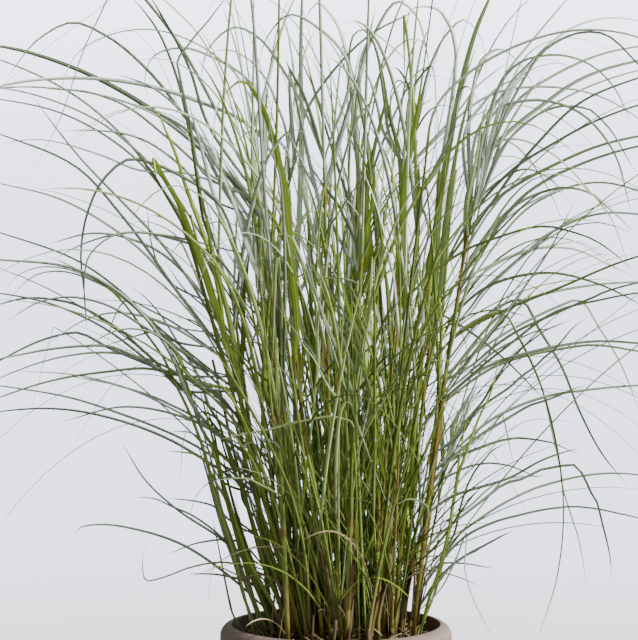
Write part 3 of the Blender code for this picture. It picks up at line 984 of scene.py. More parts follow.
FRONT_BLADES = (
    (0.06, 6.2, "olive", (-47, 545), (-86, 644), (-125, 688), (-203, 750), (-286, 791), (-343, 807),
     (-392, 810)),
    (-0.04, 3.6, "olive", (-104, 633), (-156, 734), (-192, 780), (-240, 820), (-272, 833), (-307, 817),
     (-343, 773)),
    (0.10, 2.2, "green", (-89, 670), (-156, 835), (-203, 868), (-265, 832), (-343, 769), (-380, 730)),
    (-0.10, 3.4, "olive", (-120, 680), (-192, 850), (-218, 878), (-252, 827), (-291, 723), (-314, 680)),
    (0.03, 3.0, "green", (-109, 545), (-167, 640), (-224, 718), (-265, 753), (-343, 792), (-395, 808)),
    (-0.08, 4.4, "pale", (-37, 669), (-87, 724), (-143, 751), (-200, 768), (-280, 775), (-343, 768),
     (-392, 752)),
    (0.12, 2.6, "green", (-125, 669), (-192, 739), (-244, 757), (-343, 765), (-378, 758)),
    (-0.02, 2.8, "green", (-135, 586), (-192, 685), (-244, 729), (-286, 749), (-343, 764), (-375, 766)),
    (0.08, 2.8, "olive", (-104, 514), (-161, 633), (-203, 687), (-286, 739), (-343, 752), (-388, 757)),
    (-0.12, 3.2, "green", (-125, 472), (-161, 549), (-224, 635), (-265, 680), (-343, 715), (-383, 728)),
    (0.02, 2.4, "pale", (-120, 655), (-161, 677), (-203, 679), (-244, 695), (-307, 711), (-352, 707)),
    (-0.06, 3.0, "green", (-104, 483), (-141, 548), (-182, 605), (-224, 649), (-265, 692), (-299, 735),
     (-315, 757)),
    (0.05, 3.2, "olive", (-115, 472), (-161, 549), (-198, 592), (-244, 627), (-286, 649), (-343, 664),
     (-388, 672)),
    (-0.03, 3.4, "olive", (-94, 586), (-125, 649), (-160, 673), (-192, 687), (-213, 691), (-239, 672),
     (-257, 636), (-264, 597), (-260, 545), (-258, 512)),
    (-0.08, 3.0, "green", (-89, 535), (-130, 594), (-167, 608), (-203, 615), (-265, 602), (-294, 586)),
    (0.04, 3.2, "green", (-99, 493), (-135, 547), (-187, 597), (-249, 614), (-301, 602)),
    (0.10, 2.6, "olive", (-115, 503), (-137, 550), (-151, 584), (-167, 612), (-203, 626), (-234, 612)),
    (-0.10, 3.8, "olive", (-110, 379), (-146, 431), (-177, 498), (-218, 547), (-265, 575), (-343, 586),
     (-390, 588)),
    (0.08, 2.8, "green", (-120, 441), (-192, 524), (-224, 555), (-265, 584), (-343, 613), (-383, 625)),
    (-0.05, 2.8, "green", (-125, 440), (-175, 505), (-239, 559), (-291, 575), (-309, 572), (-343, 542)),
    (0.02, 3.0, "green", (-105, 400), (-187, 476), (-244, 518), (-296, 541), (-343, 551), (-388, 556)),
    (-0.12, 3.0, "olive", (-110, 441), (-187, 509), (-244, 542), (-275, 548), (-307, 543), (-343, 522)),
    (-0.02, 3.4, "olive", (-99, 400), (-125, 450), (-187, 475), (-237, 496), (-268, 511), (-296, 506),
     (-343, 485), (-372, 468)),
    (0.07, 2.8, "green", (-115, 420), (-198, 484), (-237, 490), (-286, 485), (-343, 466), (-370, 452)),
    (-0.07, 2.8, "pale", (-120, 472), (-192, 526), (-229, 532), (-257, 526), (-301, 498)),
    (0.0, 2.2, "olive", (-130, 483), (-190, 533), (-218, 544), (-231, 524), (-237, 498)),
    (-0.09, 3.0, "sedge", (-99, 410), (-130, 450), (-198, 474), (-234, 471), (-296, 461), (-343, 446),
     (-378, 432)),
    (0.05, 2.8, "green", (-109, 348), (-141, 391), (-182, 411), (-224, 427), (-270, 442), (-343, 455),
     (-383, 460)),
    (0.11, 2.4, "pale", (-110, 389), (-161, 427), (-203, 448), (-265, 466), (-336, 471)),
    (-0.11, 3.2, "olive", (-95, 338), (-141, 382), (-172, 400), (-224, 420), (-286, 432), (-343, 430),
     (-378, 424)),
    (0.01, 2.8, "green", (-99, 358), (-130, 410), (-167, 426), (-218, 434), (-286, 418)),
    (-0.03, 2.6, "olive", (-94, 255), (-118, 296), (-167, 329), (-198, 358), (-223, 399)),
    (-0.08, 3.0, "olive", (-80, 222), (-115, 262), (-161, 292), (-203, 306), (-241, 312), (-265, 309),
     (-272, 299)),
    (-0.05, 3.0, "olive", (-63, 234), (-84, 249), (-120, 260), (-154, 261)),
    (0.04, 2.4, "olive", (-73, 265), (-99, 293), (-141, 293), (-174, 281)),
    (-0.09, 2.6, "green", (-110, 390), (-141, 429), (-151, 420), (-158, 400), (-162, 357)),
    (-0.11, 2.4, "olive", (-78, 317), (-99, 360), (-130, 357), (-147, 338), (-151, 301)),
    (-0.13, 1.8, "straw", (-76, 230), (-108, 262), (-127, 268), (-132, 242), (-131, 222)),
    (-0.09, 2.4, "straw", (-16, 221), (-41, 246), (-77, 261), (-115, 273), (-150, 268), (-180, 257),
     (-197, 254), (-201, 270), (-197, 292)),
    (-0.15, 2.8, "fresh", (26, 408), (13, 420), (5, 422), (-6, 424), (-26, 421), (-47, 417), (-68, 411),
     (-89, 407), (-109, 403), (-120, 400)),
    (-0.14, 2.2, "fresh", (-56, 338), (-68, 348), (-80, 354), (-90, 359), (-102, 360), (-115, 359),
     (-128, 357)),
    (-0.12, 8.2, "bright", (-37, 483), (-40, 524), (-44, 566), (-47, 597), (-50, 628), (-54, 669), (-58, 685),
     (-61, 700), (-66, 716), (-70, 730), (-75, 744), (-82, 756), (-87, 765), (-95, 772), (-103, 771),
     (-111, 764)),
    (-0.05, 3.4, "pale", (-75, 744), (-87, 765), (-97, 773), (-104, 770), (-112, 763), (-120, 754),
     (-124, 744), (-127, 728), (-128, 710), (-129, 690)),
    (0.0, 6.0, "pale", (-37, 545), (-37, 649), (-35, 721), (-36, 794), (-34, 885)),
    (0.05, 4.6, "pale", (-76, 633), (-84, 723), (-73, 763), (-58, 820), (-37, 872)),
    (-0.02, 3.2, "olive", (-81, 560), (-86, 633), (-87, 700), (-86, 752), (-85, 875)),
    (-0.05, 3.2, "pale", (-27, 690), (-37, 752), (-58, 789), (-80, 817), (-104, 828), (-133, 804),
     (-141, 763)),
    (0.06, 3.4, "green", (-80, 690), (-89, 771), (-125, 795), (-161, 806), (-190, 796), (-198, 768),
     (-192, 747)),
    (-0.04, 1.8, "pale", (-78, 690), (-100, 775), (-141, 809), (-198, 826), (-265, 804), (-296, 716)),
    (0.05, 4.0, "green", (-120, 597), (-139, 649), (-148, 700), (-167, 783), (-185, 825), (-215, 864)),
    (-0.07, 3.4, "olive", (-110, 649), (-137, 737), (-151, 783), (-172, 825), (-200, 872)),
    (-0.03, 3.4, "olive", (15, 690), (10, 796), (-16, 825), (-49, 840), (-71, 817), (-81, 787)),
    (0.04, 5.8, "pale", (23, 597), (23, 669), (20, 732), (12, 794), (-3, 837), (-18, 852), (-37, 825)),
    (0.02, 6.0, "teal", (-32, 545), (-31, 566), (-29, 584), (-23, 612), (-17, 643), (-9, 667), (-2, 690),
     (10, 732), (23, 773), (41, 846)),
    (-0.04, 3.2, "green", (-37, 670), (-27, 747), (-6, 778), (36, 820), (86, 846)),
    (-0.10, 8.4, "bright", (-96, 441), (-101, 462), (-110, 493), (-118, 522), (-127, 548), (-135, 573),
     (-145, 600), (-155, 628), (-165, 651), (-176, 669), (-186, 687), (-190, 693), (-188, 678), (-184, 661)),
    (-0.07, 4.8, "bright", (-115, 514), (-122, 555), (-131, 594), (-142, 625), (-151, 649), (-158, 669),
     (-164, 690), (-171, 708), (-178, 724), (-184, 738), (-192, 748)),
    (0.03, 5.7, "pale", (-52, 503), (-76, 576), (-94, 623), (-107, 649), (-128, 700), (-151, 742)),
    (-0.02, 5.5, "pale", (10, 462), (-6, 535), (-18, 597), (-32, 649), (-42, 700)),
    (-0.13, 5.0, "bright", (51, 358), (38, 441), (23, 503), (10, 550), (-6, 617)),
    (0.05, 3.8, "green", (10, 669), (23, 763), (41, 823), (66, 854), (82, 841), (92, 812), (98, 773)),
    (-0.05, 4.0, "pale", (44, 607), (37, 690), (27, 742), (25, 792), (38, 825)),
    (0.02, 4.6, "leafy", (77, 617), (65, 700), (54, 744), (47, 783), (36, 817), (20, 833)),
    (-0.09, 7.2, "bright", (72, 500), (72, 555), (70, 633), (72, 669), (79, 711), (85, 740), (88, 765),
     (89, 780)),
    (-0.07, 2.4, "moss", (78, 700), (84, 722), (92, 736), (100, 744), (108, 747), (117, 746), (128, 741)),
    (0.06, 3.4, "green", (82, 649), (85, 732), (100, 792), (115, 820), (133, 835), (147, 822), (157, 763)),
    (-0.07, 3.4, "olive", (67, 628), (72, 716), (79, 763), (98, 788), (105, 742), (106, 711)),
    (0.08, 4.4, "pale", (104, 654), (108, 685), (114, 713), (118, 737), (122, 763), (124, 783), (125, 799),
     (123, 812), (120, 825), (114, 836), (108, 844), (98, 848), (87, 848), (77, 845), (75, 835), (72, 804)),
    (-0.05, 7.4, "fresh", (98, 500), (103, 555), (108, 649), (117, 700), (130, 768), (144, 820), (172, 885)),
    (0.03, 4.4, "green", (131, 640), (141, 757), (152, 794), (170, 804), (189, 791), (212, 752)),
    (-0.04, 3.0, "green", (93, 660), (108, 752), (150, 789), (191, 810), (243, 824), (311, 818), (357, 794)),
    (0.10, 3.0, "pale", (140, 660), (176, 752), (212, 801), (248, 828), (287, 837), (330, 829), (376, 806)),
    (-0.08, 3.0, "olive", (150, 650), (189, 763), (217, 804), (253, 822), (274, 822), (311, 792), (342, 752)),
    (0.05, 3.2, "green", (135, 670), (170, 768), (205, 815), (250, 868)),
    (-0.10, 3.0, "green", (140, 670), (202, 796), (233, 799), (264, 789), (287, 768), (307, 726)),
    (0.02, 3.2, "olive", (140, 650), (191, 754), (227, 778), (274, 799), (311, 807), (376, 812)),
    (-0.03, 4.8, "green", (124, 600), (139, 663), (156, 694), (174, 714), (191, 729), (212, 745), (253, 773),
     (280, 784), (311, 792), (367, 802)),
    (0.12, 2.8, "green", (130, 600), (175, 706), (217, 742), (258, 764), (311, 782), (360, 790)),
    (-0.12, 3.0, "olive", (140, 600), (208, 706), (253, 749), (311, 774), (372, 789)),
    (0.06, 2.8, "pale", (130, 680), (170, 761), (233, 765), (274, 756), (311, 735), (347, 700)),
    (-0.06, 3.2, "green", (130, 650), (176, 747), (212, 752), (253, 739), (285, 704), (307, 633)),
    (0.04, 3.4, "olive", (140, 630), (170, 709), (186, 711), (222, 697), (264, 656), (281, 636), (305, 576)),
    (-0.09, 3.2, "olive", (108, 560), (126, 606), (142, 634), (162, 659), (186, 682), (224, 706), (262, 727),
     (311, 746), (365, 758)),
    (0.03, 3.8, "sedge", (112, 570), (170, 652), (233, 688), (274, 705), (311, 714), (376, 722)),
    (-0.13, 3.6, "olive", (120, 560), (202, 659), (264, 690), (311, 704), (374, 713)),
    (0.08, 3.0, "green", (130, 560), (212, 649), (253, 665), (274, 667), (311, 659), (357, 633)),
    (-0.02, 2.8, "olive", (120, 590), (170, 669), (196, 681), (224, 669), (240, 643)),
    (-0.13, 2.8, "dusk", (31, 480), (39, 499), (47, 516), (55, 532), (65, 543), (77, 551), (98, 572),
     (119, 587), (139, 599), (160, 607), (181, 614), (202, 620), (222, 621), (243, 616), (264, 609),
     (285, 596), (311, 572)),
    (0.04, 3.4, "teal", (130, 519), (139, 536), (152, 554), (166, 567), (181, 580), (202, 598), (222, 614),
     (239, 623), (259, 631), (279, 635), (311, 634), (357, 626)),
    (0.09, 2.6, "pale", (108, 520), (170, 584), (233, 603), (253, 605), (290, 583)),
    (-0.06, 3.2, "sedge", (98, 503), (160, 560), (222, 573), (274, 561), (326, 535)),
    (-0.14, 2.6, "dusk", (72, 488), (80, 502), (87, 512), (94, 522), (100, 533), (109, 547), (120, 559),
     (129, 565), (139, 568), (150, 570), (160, 571), (170, 569), (181, 567), (197, 562), (212, 555),
     (230, 541), (245, 524)),
    (-0.12, 2.6, "sedge", (94, 500), (106, 511), (119, 519), (129, 523), (139, 529), (150, 532), (160, 534),
     (170, 534), (186, 531), (202, 526)),
    (-0.10, 2.2, "moss", (104, 505), (114, 520), (122, 524), (127, 521), (132, 508), (136, 496), (136, 485),
     (134, 473), (129, 460)),
    (-0.08, 3.0, "dusk", (72, 452), (124, 507), (170, 532), (233, 558), (295, 584), (340, 598), (376, 610)),
    (0.02, 3.4, "green", (108, 470), (191, 542), (253, 558), (311, 563), (374, 560)),
    (-0.12, 2.8, "sedge", (120, 440), (175, 495), (233, 535), (274, 545), (311, 552), (374, 555)),
    (0.06, 3.0, "green", (100, 450), (191, 519), (233, 539), (250, 545), (274, 514), (293, 483), (316, 426)),
    (-0.05, 2.0, "moss", (98, 480), (139, 519), (174, 531), (191, 503), (215, 450), (228, 400), (236, 338),
     (235, 296), (229, 255), (208, 190)),
    (0.07, 3.2, "olive", (108, 480), (160, 532), (191, 545), (212, 512), (233, 478), (253, 429), (277, 384),
     (303, 352)),
    (-0.09, 3.4, "green", (88, 410), (150, 472), (212, 493), (274, 502), (311, 500), (365, 493)),
    (0.03, 3.2, "sedge", (98, 420), (170, 478), (233, 494), (264, 498), (311, 492), (374, 478)),
    (-0.10, 2.6, "olive", (108, 440), (125, 462), (139, 483), (158, 509), (186, 545), (208, 576), (226, 604),
     (238, 628), (248, 648)),
    (0.05, 2.8, "green", (88, 545), (124, 522), (170, 488), (217, 441)),
    (-0.03, 3.2, "green", (98, 370), (170, 426), (212, 443), (274, 453), (311, 456), (365, 457)),
    (-0.09, 3.4, "olive", (86, 340), (98, 363), (108, 373), (119, 379), (129, 384), (142, 389), (155, 394),
     (170, 399), (191, 402), (202, 401), (215, 399), (228, 396), (240, 390), (254, 384)),
    (0.08, 2.0, "pale", (112, 338), (126, 355), (142, 371), (152, 382), (160, 389), (168, 399), (178, 407),
     (189, 415), (202, 420), (212, 421), (227, 420), (240, 419), (264, 411)),
    (0.02, 3.0, "olive", (88, 317), (98, 343), (108, 357), (126, 367), (139, 373), (150, 375), (160, 376),
     (170, 375), (181, 373), (191, 369), (202, 364), (212, 359)),
    (-0.07, 3.4, "olive", (86, 296), (92, 313), (98, 325), (111, 336), (124, 343), (139, 348), (160, 354),
     (176, 359), (189, 365), (199, 371), (212, 378), (227, 384), (240, 388), (254, 391)),
    (-0.02, 3.4, "olive", (82, 256), (90, 278), (98, 292), (111, 305), (124, 316), (137, 326), (150, 336),
     (160, 344), (170, 352), (181, 357), (191, 359), (202, 364), (212, 369), (222, 371), (233, 373),
     (247, 374), (251, 371), (259, 358), (265, 345), (272, 333), (275, 319), (280, 300), (285, 275),
     (286, 255)),
    (0.04, 2.4, "green", (124, 310), (140, 332), (156, 347), (170, 357), (188, 361), (205, 362), (222, 362)),
    (0.06, 3.0, "olive", (93, 250), (110, 280), (128, 302), (150, 319), (170, 332), (189, 342), (202, 348),
     (227, 356), (253, 362), (279, 365), (310, 364), (357, 353)),
    (-0.10, 3.0, "olive", (90, 240), (108, 272), (129, 296), (142, 305), (157, 312), (170, 317), (186, 321),
     (202, 325), (217, 328), (233, 330), (245, 331), (259, 330), (274, 328), (292, 324), (310, 320),
     (345, 306)),
    (-0.05, 3.2, "olive", (88, 224), (104, 252), (119, 268), (137, 281), (150, 288), (163, 295), (176, 302),
     (186, 306)),
    (-0.06, 3.4, "olive", (100, 352), (114, 374), (129, 389), (150, 405), (168, 416), (186, 427), (202, 436),
     (215, 440), (234, 447), (247, 453), (262, 456)),
    (-0.05, 2.6, "olive", (112, 262), (122, 300), (130, 332), (137, 353), (147, 371), (154, 379), (163, 389),
     (170, 393), (180, 397)),
    (-0.04, 2.2, "olive", (96, 476), (138, 520), (173, 532), (190, 506), (214, 452), (226, 400), (233, 369),
     (235, 350), (239, 337), (244, 321), (251, 300), (256, 275), (260, 249)),
    (-0.09, 1.8, "pale", (90, 225), (108, 244), (124, 275), (136, 304), (134, 265), (143, 234), (166, 190)),
    (0.0, 2.4, "green", (92, 240), (108, 271), (129, 272), (165, 266)),
    (-0.12, 3.8, "leafy", (86, 193), (98, 240), (106, 262), (111, 281), (115, 296), (119, 317), (121, 332),
     (124, 348), (126, 361), (130, 374), (133, 382), (137, 394), (143, 410), (147, 420), (153, 433),
     (159, 445), (163, 457), (170, 488)),
    (-0.06, 3.8, "moss", (-68, 193), (-85, 234), (-99, 286), (-111, 327), (-121, 374), (-133, 420),
     (-144, 462)),
    (0.02, 3.6, "green", (-78, 193), (-96, 239), (-103, 265), (-114, 296), (-125, 332), (-135, 369),
     (-145, 400)),
    (-0.02, 4.4, "moss", (-60, 193), (-76, 244), (-89, 280), (-101, 317), (-112, 358), (-118, 389)),
    (-0.08, 3.0, "leafy", (82, 193), (98, 229), (105, 249), (111, 275), (118, 306), (122, 338), (127, 374),
     (133, 410), (139, 436)),
    (-0.04, 2.8, "moss", (94, 230), (105, 251), (116, 265), (130, 277), (150, 286)),
    (-0.07, 2.6, "moss", (96, 275), (109, 296), (124, 317), (139, 338), (152, 352)),
    (0.03, 3.4, "pale", (100, 332), (108, 358), (121, 389), (131, 415), (140, 441), (150, 462)),
    (-0.03, 2.6, "green", (104, 358), (115, 384), (127, 415), (139, 446), (148, 467), (158, 487)),
    (-0.09, 2.4, "olive", (109, 384), (124, 400), (139, 420), (152, 441)),
    (-0.01, 2.4, "olive", (104, 369), (119, 381), (134, 391), (152, 402)),
    (-0.08, 5.5, "pale", (-70, 545), (-76, 560), (-87, 584), (-96, 612), (-104, 638), (-112, 659),
     (-119, 678)),
    (-0.10, 4.3, "teal", (-52, 588), (-68, 612), (-80, 636), (-94, 657), (-107, 674), (-118, 690)),
    (-0.05, 5.2, "teal", (-99, 520), (-99, 545), (-96, 571), (-92, 591), (-87, 606)),
    (-0.02, 3.4, "pale", (20, 560), (20, 584), (17, 612), (10, 638), (-1, 659), (-11, 675)),
    (-0.14, 3.3, "sedge", (20, 436), (16, 450), (11, 467), (5, 485), (-2, 500), (-9, 518), (-16, 537),
     (-22, 553), (-29, 571), (-33, 588)),
    (-0.12, 2.6, "pale", (34, 400), (26, 440), (17, 477), (6, 509), (-4, 535), (-14, 566), (-20, 590)),
    (-0.13, 2.8, "fresh", (31, 470), (21, 493), (13, 514), (5, 531), (-4, 548), (-11, 566), (-18, 584),
     (-25, 602)),
    (-0.11, 2.4, "pale", (38, 480), (29, 500), (20, 520), (11, 540), (3, 560), (-4, 580), (-10, 604)),
    (-0.15, 2.4, "fresh", (10, 431), (-6, 452), (-14, 466), (-22, 482), (-31, 494), (-37, 503)),
    (-0.12, 3.4, "fresh", (-19, 441), (-18, 457), (-19, 478), (-20, 503), (-21, 520)),
    (-0.06, 5.0, "moss", (-24, 460), (-24, 483), (-24, 509), (-25, 534), (-28, 560)),
    (-0.10, 5.4, "moss", (-103, 430), (-99, 472), (-96, 503), (-96, 535), (-95, 555), (-92, 576), (-89, 597)),
    (-0.07, 4.8, "leafy", (-70, 430), (-72, 446), (-74, 483), (-76, 514), (-77, 545), (-79, 576), (-83, 607)),
    (-0.03, 2.9, "pale", (-104, 535), (-106, 555), (-105, 576), (-104, 607), (-103, 628), (-101, 650)),
    (-0.08, 4.1, "pale", (87, 480), (88, 498), (90, 524), (89, 545), (86, 560), (85, 590)),
    (-0.07, 5.6, "fresh", (97, 465), (101, 493), (105, 524), (109, 555), (112, 586), (115, 618), (119, 649),
     (122, 675), (127, 706), (134, 737), (143, 770)),
    (-0.06, 5.6, "leafy", (88, 514), (92, 545), (96, 576), (100, 600), (104, 628), (109, 655), (115, 690)),
    (-0.04, 5.0, "leafy", (78, 540), (81, 565), (83, 590), (85, 620), (86, 650), (86, 690)),
    (-0.09, 4.6, "bright", (66, 566), (64, 590), (62, 620), (60, 655), (58, 690)),
    (-0.02, 5.4, "bright", (31, 585), (30, 610), (31, 640), (32, 670), (35, 700)),
    (-0.10, 4.6, "fresh", (28, 445), (29, 470), (31, 500), (34, 530), (36, 560), (38, 590)),
    (0.02, 2.9, "teal", (24, 586), (21, 607), (17, 638), (12, 669), (5, 695)),
    (0.00, 3.0, "teal", (100, 600), (96, 620), (90, 640), (84, 660), (80, 680)),
    (0.08, 2.8, "green", (108, 545), (124, 559), (139, 570), (155, 578), (171, 586), (202, 597), (233, 599),
     (248, 597), (264, 591), (279, 583), (295, 576), (311, 567)),
    (0.02, 2.2, "pale", (132, 518), (141, 533), (152, 549), (171, 569), (191, 587), (212, 603), (228, 613),
     (243, 621), (259, 624), (274, 625), (290, 621), (311, 613)),
    (-0.09, 3.0, "sedge", (129, 464), (145, 480), (160, 493), (176, 505), (191, 514), (212, 524), (233, 533),
     (251, 541), (264, 546), (279, 553), (295, 558), (311, 562), (347, 569)),
    (-0.04, 2.6, "green", (116, 398), (130, 414), (143, 429), (154, 442), (162, 457), (171, 471), (179, 482),
     (189, 492), (202, 502), (217, 513), (233, 520), (248, 525)),
    (-0.09, 2.8, "olive", (110, 387), (124, 403), (138, 420), (150, 433), (165, 444), (181, 455), (193, 466),
     (207, 476), (217, 486), (225, 492), (235, 503), (245, 515), (262, 528)),
    (-0.06, 3.0, "sedge", (117, 457), (129, 472), (141, 487), (154, 500), (165, 514), (176, 526), (183, 537),
     (196, 556)),
    (0.03, 2.8, "green", (119, 450), (131, 463), (145, 475), (160, 488), (174, 497), (189, 504), (204, 511),
     (230, 517)),
    (-0.02, 2.6, "olive", (114, 464), (125, 476), (137, 491), (148, 501), (160, 510), (176, 518), (196, 523)),
    (-0.13, 2.4, "pale", (66, 480), (66, 503), (63, 535), (60, 566), (54, 597), (46, 628), (38, 654),
     (27, 682)),
    (-0.09, 1.8, "olive", (-18, 578), (-49, 564), (-73, 549), (-94, 540)),
    (-0.10, 2.4, "olive", (-99, 493), (-118, 516), (-135, 537), (-156, 555), (-177, 584)),
    (-0.09, 5.4, "moss", (-104, 496), (-107, 516), (-113, 542), (-118, 563), (-123, 583), (-130, 610),
     (-137, 631), (-141, 654), (-145, 680), (-148, 702), (-151, 726), (-154, 749)),
    (-0.05, 3.0, "olive", (-115, 633), (-130, 651), (-146, 668), (-161, 684), (-177, 697), (-192, 707),
     (-208, 714), (-224, 718), (-239, 720), (-260, 721), (-284, 720)),
    (0.04, 2.8, "green", (-115, 659), (-135, 678), (-151, 692), (-166, 706), (-182, 719), (-195, 730),
     (-208, 740), (-224, 749), (-239, 755), (-260, 761), (-286, 763), (-317, 766), (-343, 764)),
    (-0.07, 3.0, "green", (-135, 649), (-143, 685), (-149, 716), (-155, 744), (-160, 768), (-164, 788),
     (-165, 793), (-158, 803), (-146, 819), (-132, 835), (-120, 851), (-107, 866)),
    (-0.03, 2.2, "olive", (-166, 550), (-177, 569), (-186, 586), (-191, 602), (-194, 617), (-195, 633),
     (-197, 642)),
    (0.06, 2.2, "olive", (-141, 584), (-149, 601), (-160, 617), (-172, 626), (-182, 631), (-193, 633)),
    (-0.04, 2.4, "pale", (-172, 503), (-192, 526), (-213, 542), (-234, 556), (-255, 568), (-275, 576),
     (-291, 579), (-307, 579), (-319, 576), (-329, 571), (-338, 562), (-344, 554)),
    (-0.10, 2.4, "olive", (-166, 607), (-187, 613), (-208, 615), (-226, 613), (-239, 607), (-249, 599),
     (-257, 588), (-260, 576), (-261, 555), (-259, 519)),
    (0.03, 3.4, "olive", (-156, 443), (-167, 457), (-177, 469), (-187, 481), (-198, 491), (-208, 500),
     (-218, 510), (-229, 517), (-239, 524), (-249, 530), (-260, 536), (-275, 542), (-291, 545), (-307, 547),
     (-327, 546), (-343, 542), (-368, 534)),
    (-0.12, 2.6, "olive", (-146, 464), (-156, 481), (-167, 493), (-177, 502), (-187, 509), (-198, 513),
     (-211, 515), (-224, 514), (-236, 510), (-248, 503), (-260, 495)),
    (0.08, 2.6, "olive", (-151, 491), (-167, 502), (-182, 510), (-192, 511), (-208, 507), (-224, 502),
     (-239, 497)),
    (-0.07, 3.2, "olive", (-166, 466), (-182, 472), (-198, 481), (-213, 488), (-229, 495), (-238, 497),
     (-260, 497), (-286, 495), (-307, 492), (-327, 488), (-343, 485), (-374, 476)),
    (-0.05, 2.8, "olive", (176, 710), (196, 728), (217, 741), (235, 746), (251, 745), (264, 742), (274, 733),
     (285, 721), (295, 705), (305, 687), (313, 674)),
    (-0.08, 3.4, "olive", (121, 700), (124, 732), (127, 752), (131, 765), (137, 767), (144, 758), (150, 747),
     (156, 734), (159, 723)),
    (0.04, 2.4, "green", (124, 726), (134, 750), (144, 764), (155, 774), (167, 783), (179, 792)),
    (-0.03, 3.8, "teal", (132, 710), (139, 732), (152, 748), (165, 763), (176, 770), (186, 774), (202, 776)),
    (-0.06, 3.4, "teal", (142, 700), (150, 726), (160, 742), (171, 755), (181, 769), (191, 781), (202, 792),
     (212, 802), (224, 812)),
    (-0.10, 3.6, "fresh", (131, 612), (136, 643), (141, 669), (146, 695), (150, 721), (154, 740), (160, 754)),
    (0.06, 2.2, "pale", (176, 757), (186, 771), (196, 779), (212, 787), (228, 790), (238, 789), (248, 784),
     (259, 776), (269, 765)),
    (0.05, 2.2, "pale", (170, 742), (179, 763), (187, 781), (196, 796), (209, 807), (222, 813), (236, 816),
     (250, 816), (264, 813), (276, 808), (289, 799), (300, 788), (311, 773)),
    (-0.02, 4.2, "teal", (143, 633), (150, 659), (157, 685), (165, 713), (174, 740), (183, 761), (193, 777),
     (205, 794)),
    (-0.05, 3.4, "green", (148, 630), (158, 670), (168, 702), (178, 724), (188, 741), (201, 760), (217, 779)),
    (-0.05, 4.4, "leafy", (139, 649), (142, 669), (146, 690), (149, 708), (153, 723)),
    (-0.03, 2.6, "olive", (132, 732), (139, 717), (148, 706), (156, 696), (164, 687), (173, 673)),
    (0.04, 2.8, "green", (-47, 711), (-54, 729), (-61, 747), (-67, 763), (-73, 775), (-80, 783), (-88, 792),
     (-96, 798), (-107, 803), (-118, 804), (-128, 802), (-135, 799)),
    (-0.02, 2.8, "olive", (-37, 685), (-52, 702), (-70, 715), (-87, 723), (-99, 733), (-120, 743),
     (-141, 750), (-161, 756)),
    (-0.06, 2.6, "olive", (-63, 700), (-70, 713), (-78, 720), (-87, 721), (-95, 717), (-102, 710),
     (-107, 701), (-112, 690)),
    (-0.04, 4.2, "olive", (-24, 732), (-31, 752), (-37, 766), (-43, 776), (-48, 785), (-52, 794)),
    (0.02, 5.0, "teal", (-41, 659), (-43, 690), (-45, 721), (-47, 747), (-48, 768), (-49, 785)),
    (0.03, 2.8, "green", (17, 742), (15, 768), (14, 792), (15, 808), (19, 820), (26, 825), (36, 823),
     (46, 817), (58, 807), (70, 796), (80, 783)),
    (-0.03, 3.8, "teal", (58, 690), (54, 721), (51, 747), (48, 768), (45, 789), (42, 804), (38, 812)),
    (0.05, 3.6, "teal", (52, 700), (48, 723), (44, 742), (40, 758), (35, 773), (28, 786)),
    (0.06, 2.2, "pale", (54, 747), (61, 761), (68, 769), (77, 774), (90, 776), (103, 777), (115, 774),
     (127, 769)),
    (-0.02, 2.2, "olive", (-39, 582), (-47, 599), (-56, 615), (-64, 630), (-75, 646), (-88, 662),
     (-101, 676)),
    (0.02, 2.0, "olive", (-46, 585), (-58, 612), (-68, 630), (-80, 650), (-92, 672)),
    (-0.12, 2.0, "sedge", (-20, 600), (-10, 615), (-6, 622), (6, 640), (16, 656), (26, 667), (38, 676)),
    (-0.10, 1.8, "sedge", (24, 622), (22, 634), (15, 644), (5, 653), (-2, 658), (-10, 662)),
    (-0.04, 3.0, "olive", (27, 582), (23, 597), (17, 613), (10, 628), (2, 645), (-8, 658), (-18, 671),
     (-30, 690)),
    (-0.10, 2.6, "sedge", (-5, 557), (-1, 576), (3, 590), (8, 603), (11, 620)),
    (-0.09, 2.6, "sedge", (10, 575), (4, 584), (0, 589), (-6, 604), (-12, 616), (-17, 628)),
    (-0.14, 1.8, "sedge", (24, 560), (13, 566), (-3, 568), (-17, 567), (-32, 566)),
    (-0.10, 3.2, "moss", (24, 485), (17, 497), (13, 505), (6, 514), (0, 523), (-6, 534), (-11, 545),
     (-14, 554), (-19, 565), (-23, 576), (-28, 588)),
    (-0.15, 3.0, "sedge", (38, 410), (36, 441), (33, 458), (28, 471), (26, 485), (23, 500), (19, 512),
     (15, 522), (9, 530), (2, 545), (-9, 560), (-19, 573)),
    (-0.05, 2.2, "olive", (-60, 498), (-68, 511), (-78, 525), (-89, 537), (-95, 543), (-106, 554)),
    (-0.06, 2.2, "olive", (-58, 482), (-68, 496), (-78, 508), (-87, 519), (-93, 528), (-104, 541)),
    (-0.09, 2.2, "moss", (-91, 480), (-87, 499), (-82, 515), (-79, 526), (-75, 545), (-72, 565)),
    (-0.10, 3.0, "moss", (-52, 438), (-63, 454), (-74, 464), (-83, 472), (-92, 482), (-103, 491), (-110, 497),
     (-121, 508)),
    (-0.04, 2.2, "olive", (-64, 455), (-61, 471), (-66, 485), (-71, 506), (-75, 525)),
    (-0.14, 1.8, "pale", (-2, 435), (-6, 454), (-10, 467), (-17, 478), (-26, 493), (-36, 505), (-48, 520),
     (-62, 540)),
    (-0.12, 2.6, "fresh", (-26, 400), (-25, 418), (-22, 448), (-18, 481), (-19, 511), (-18, 527), (-16, 550),
     (-17, 575)),
    (-0.13, 2.4, "moss", (-26, 440), (-19, 458), (-11, 470), (-6, 476), (1, 482), (10, 486), (15, 485),
     (10, 476), (4, 467), (-1, 457)),
    (-0.14, 2.2, "moss", (14, 468), (5, 471), (-2, 469), (-8, 466), (-16, 460)),
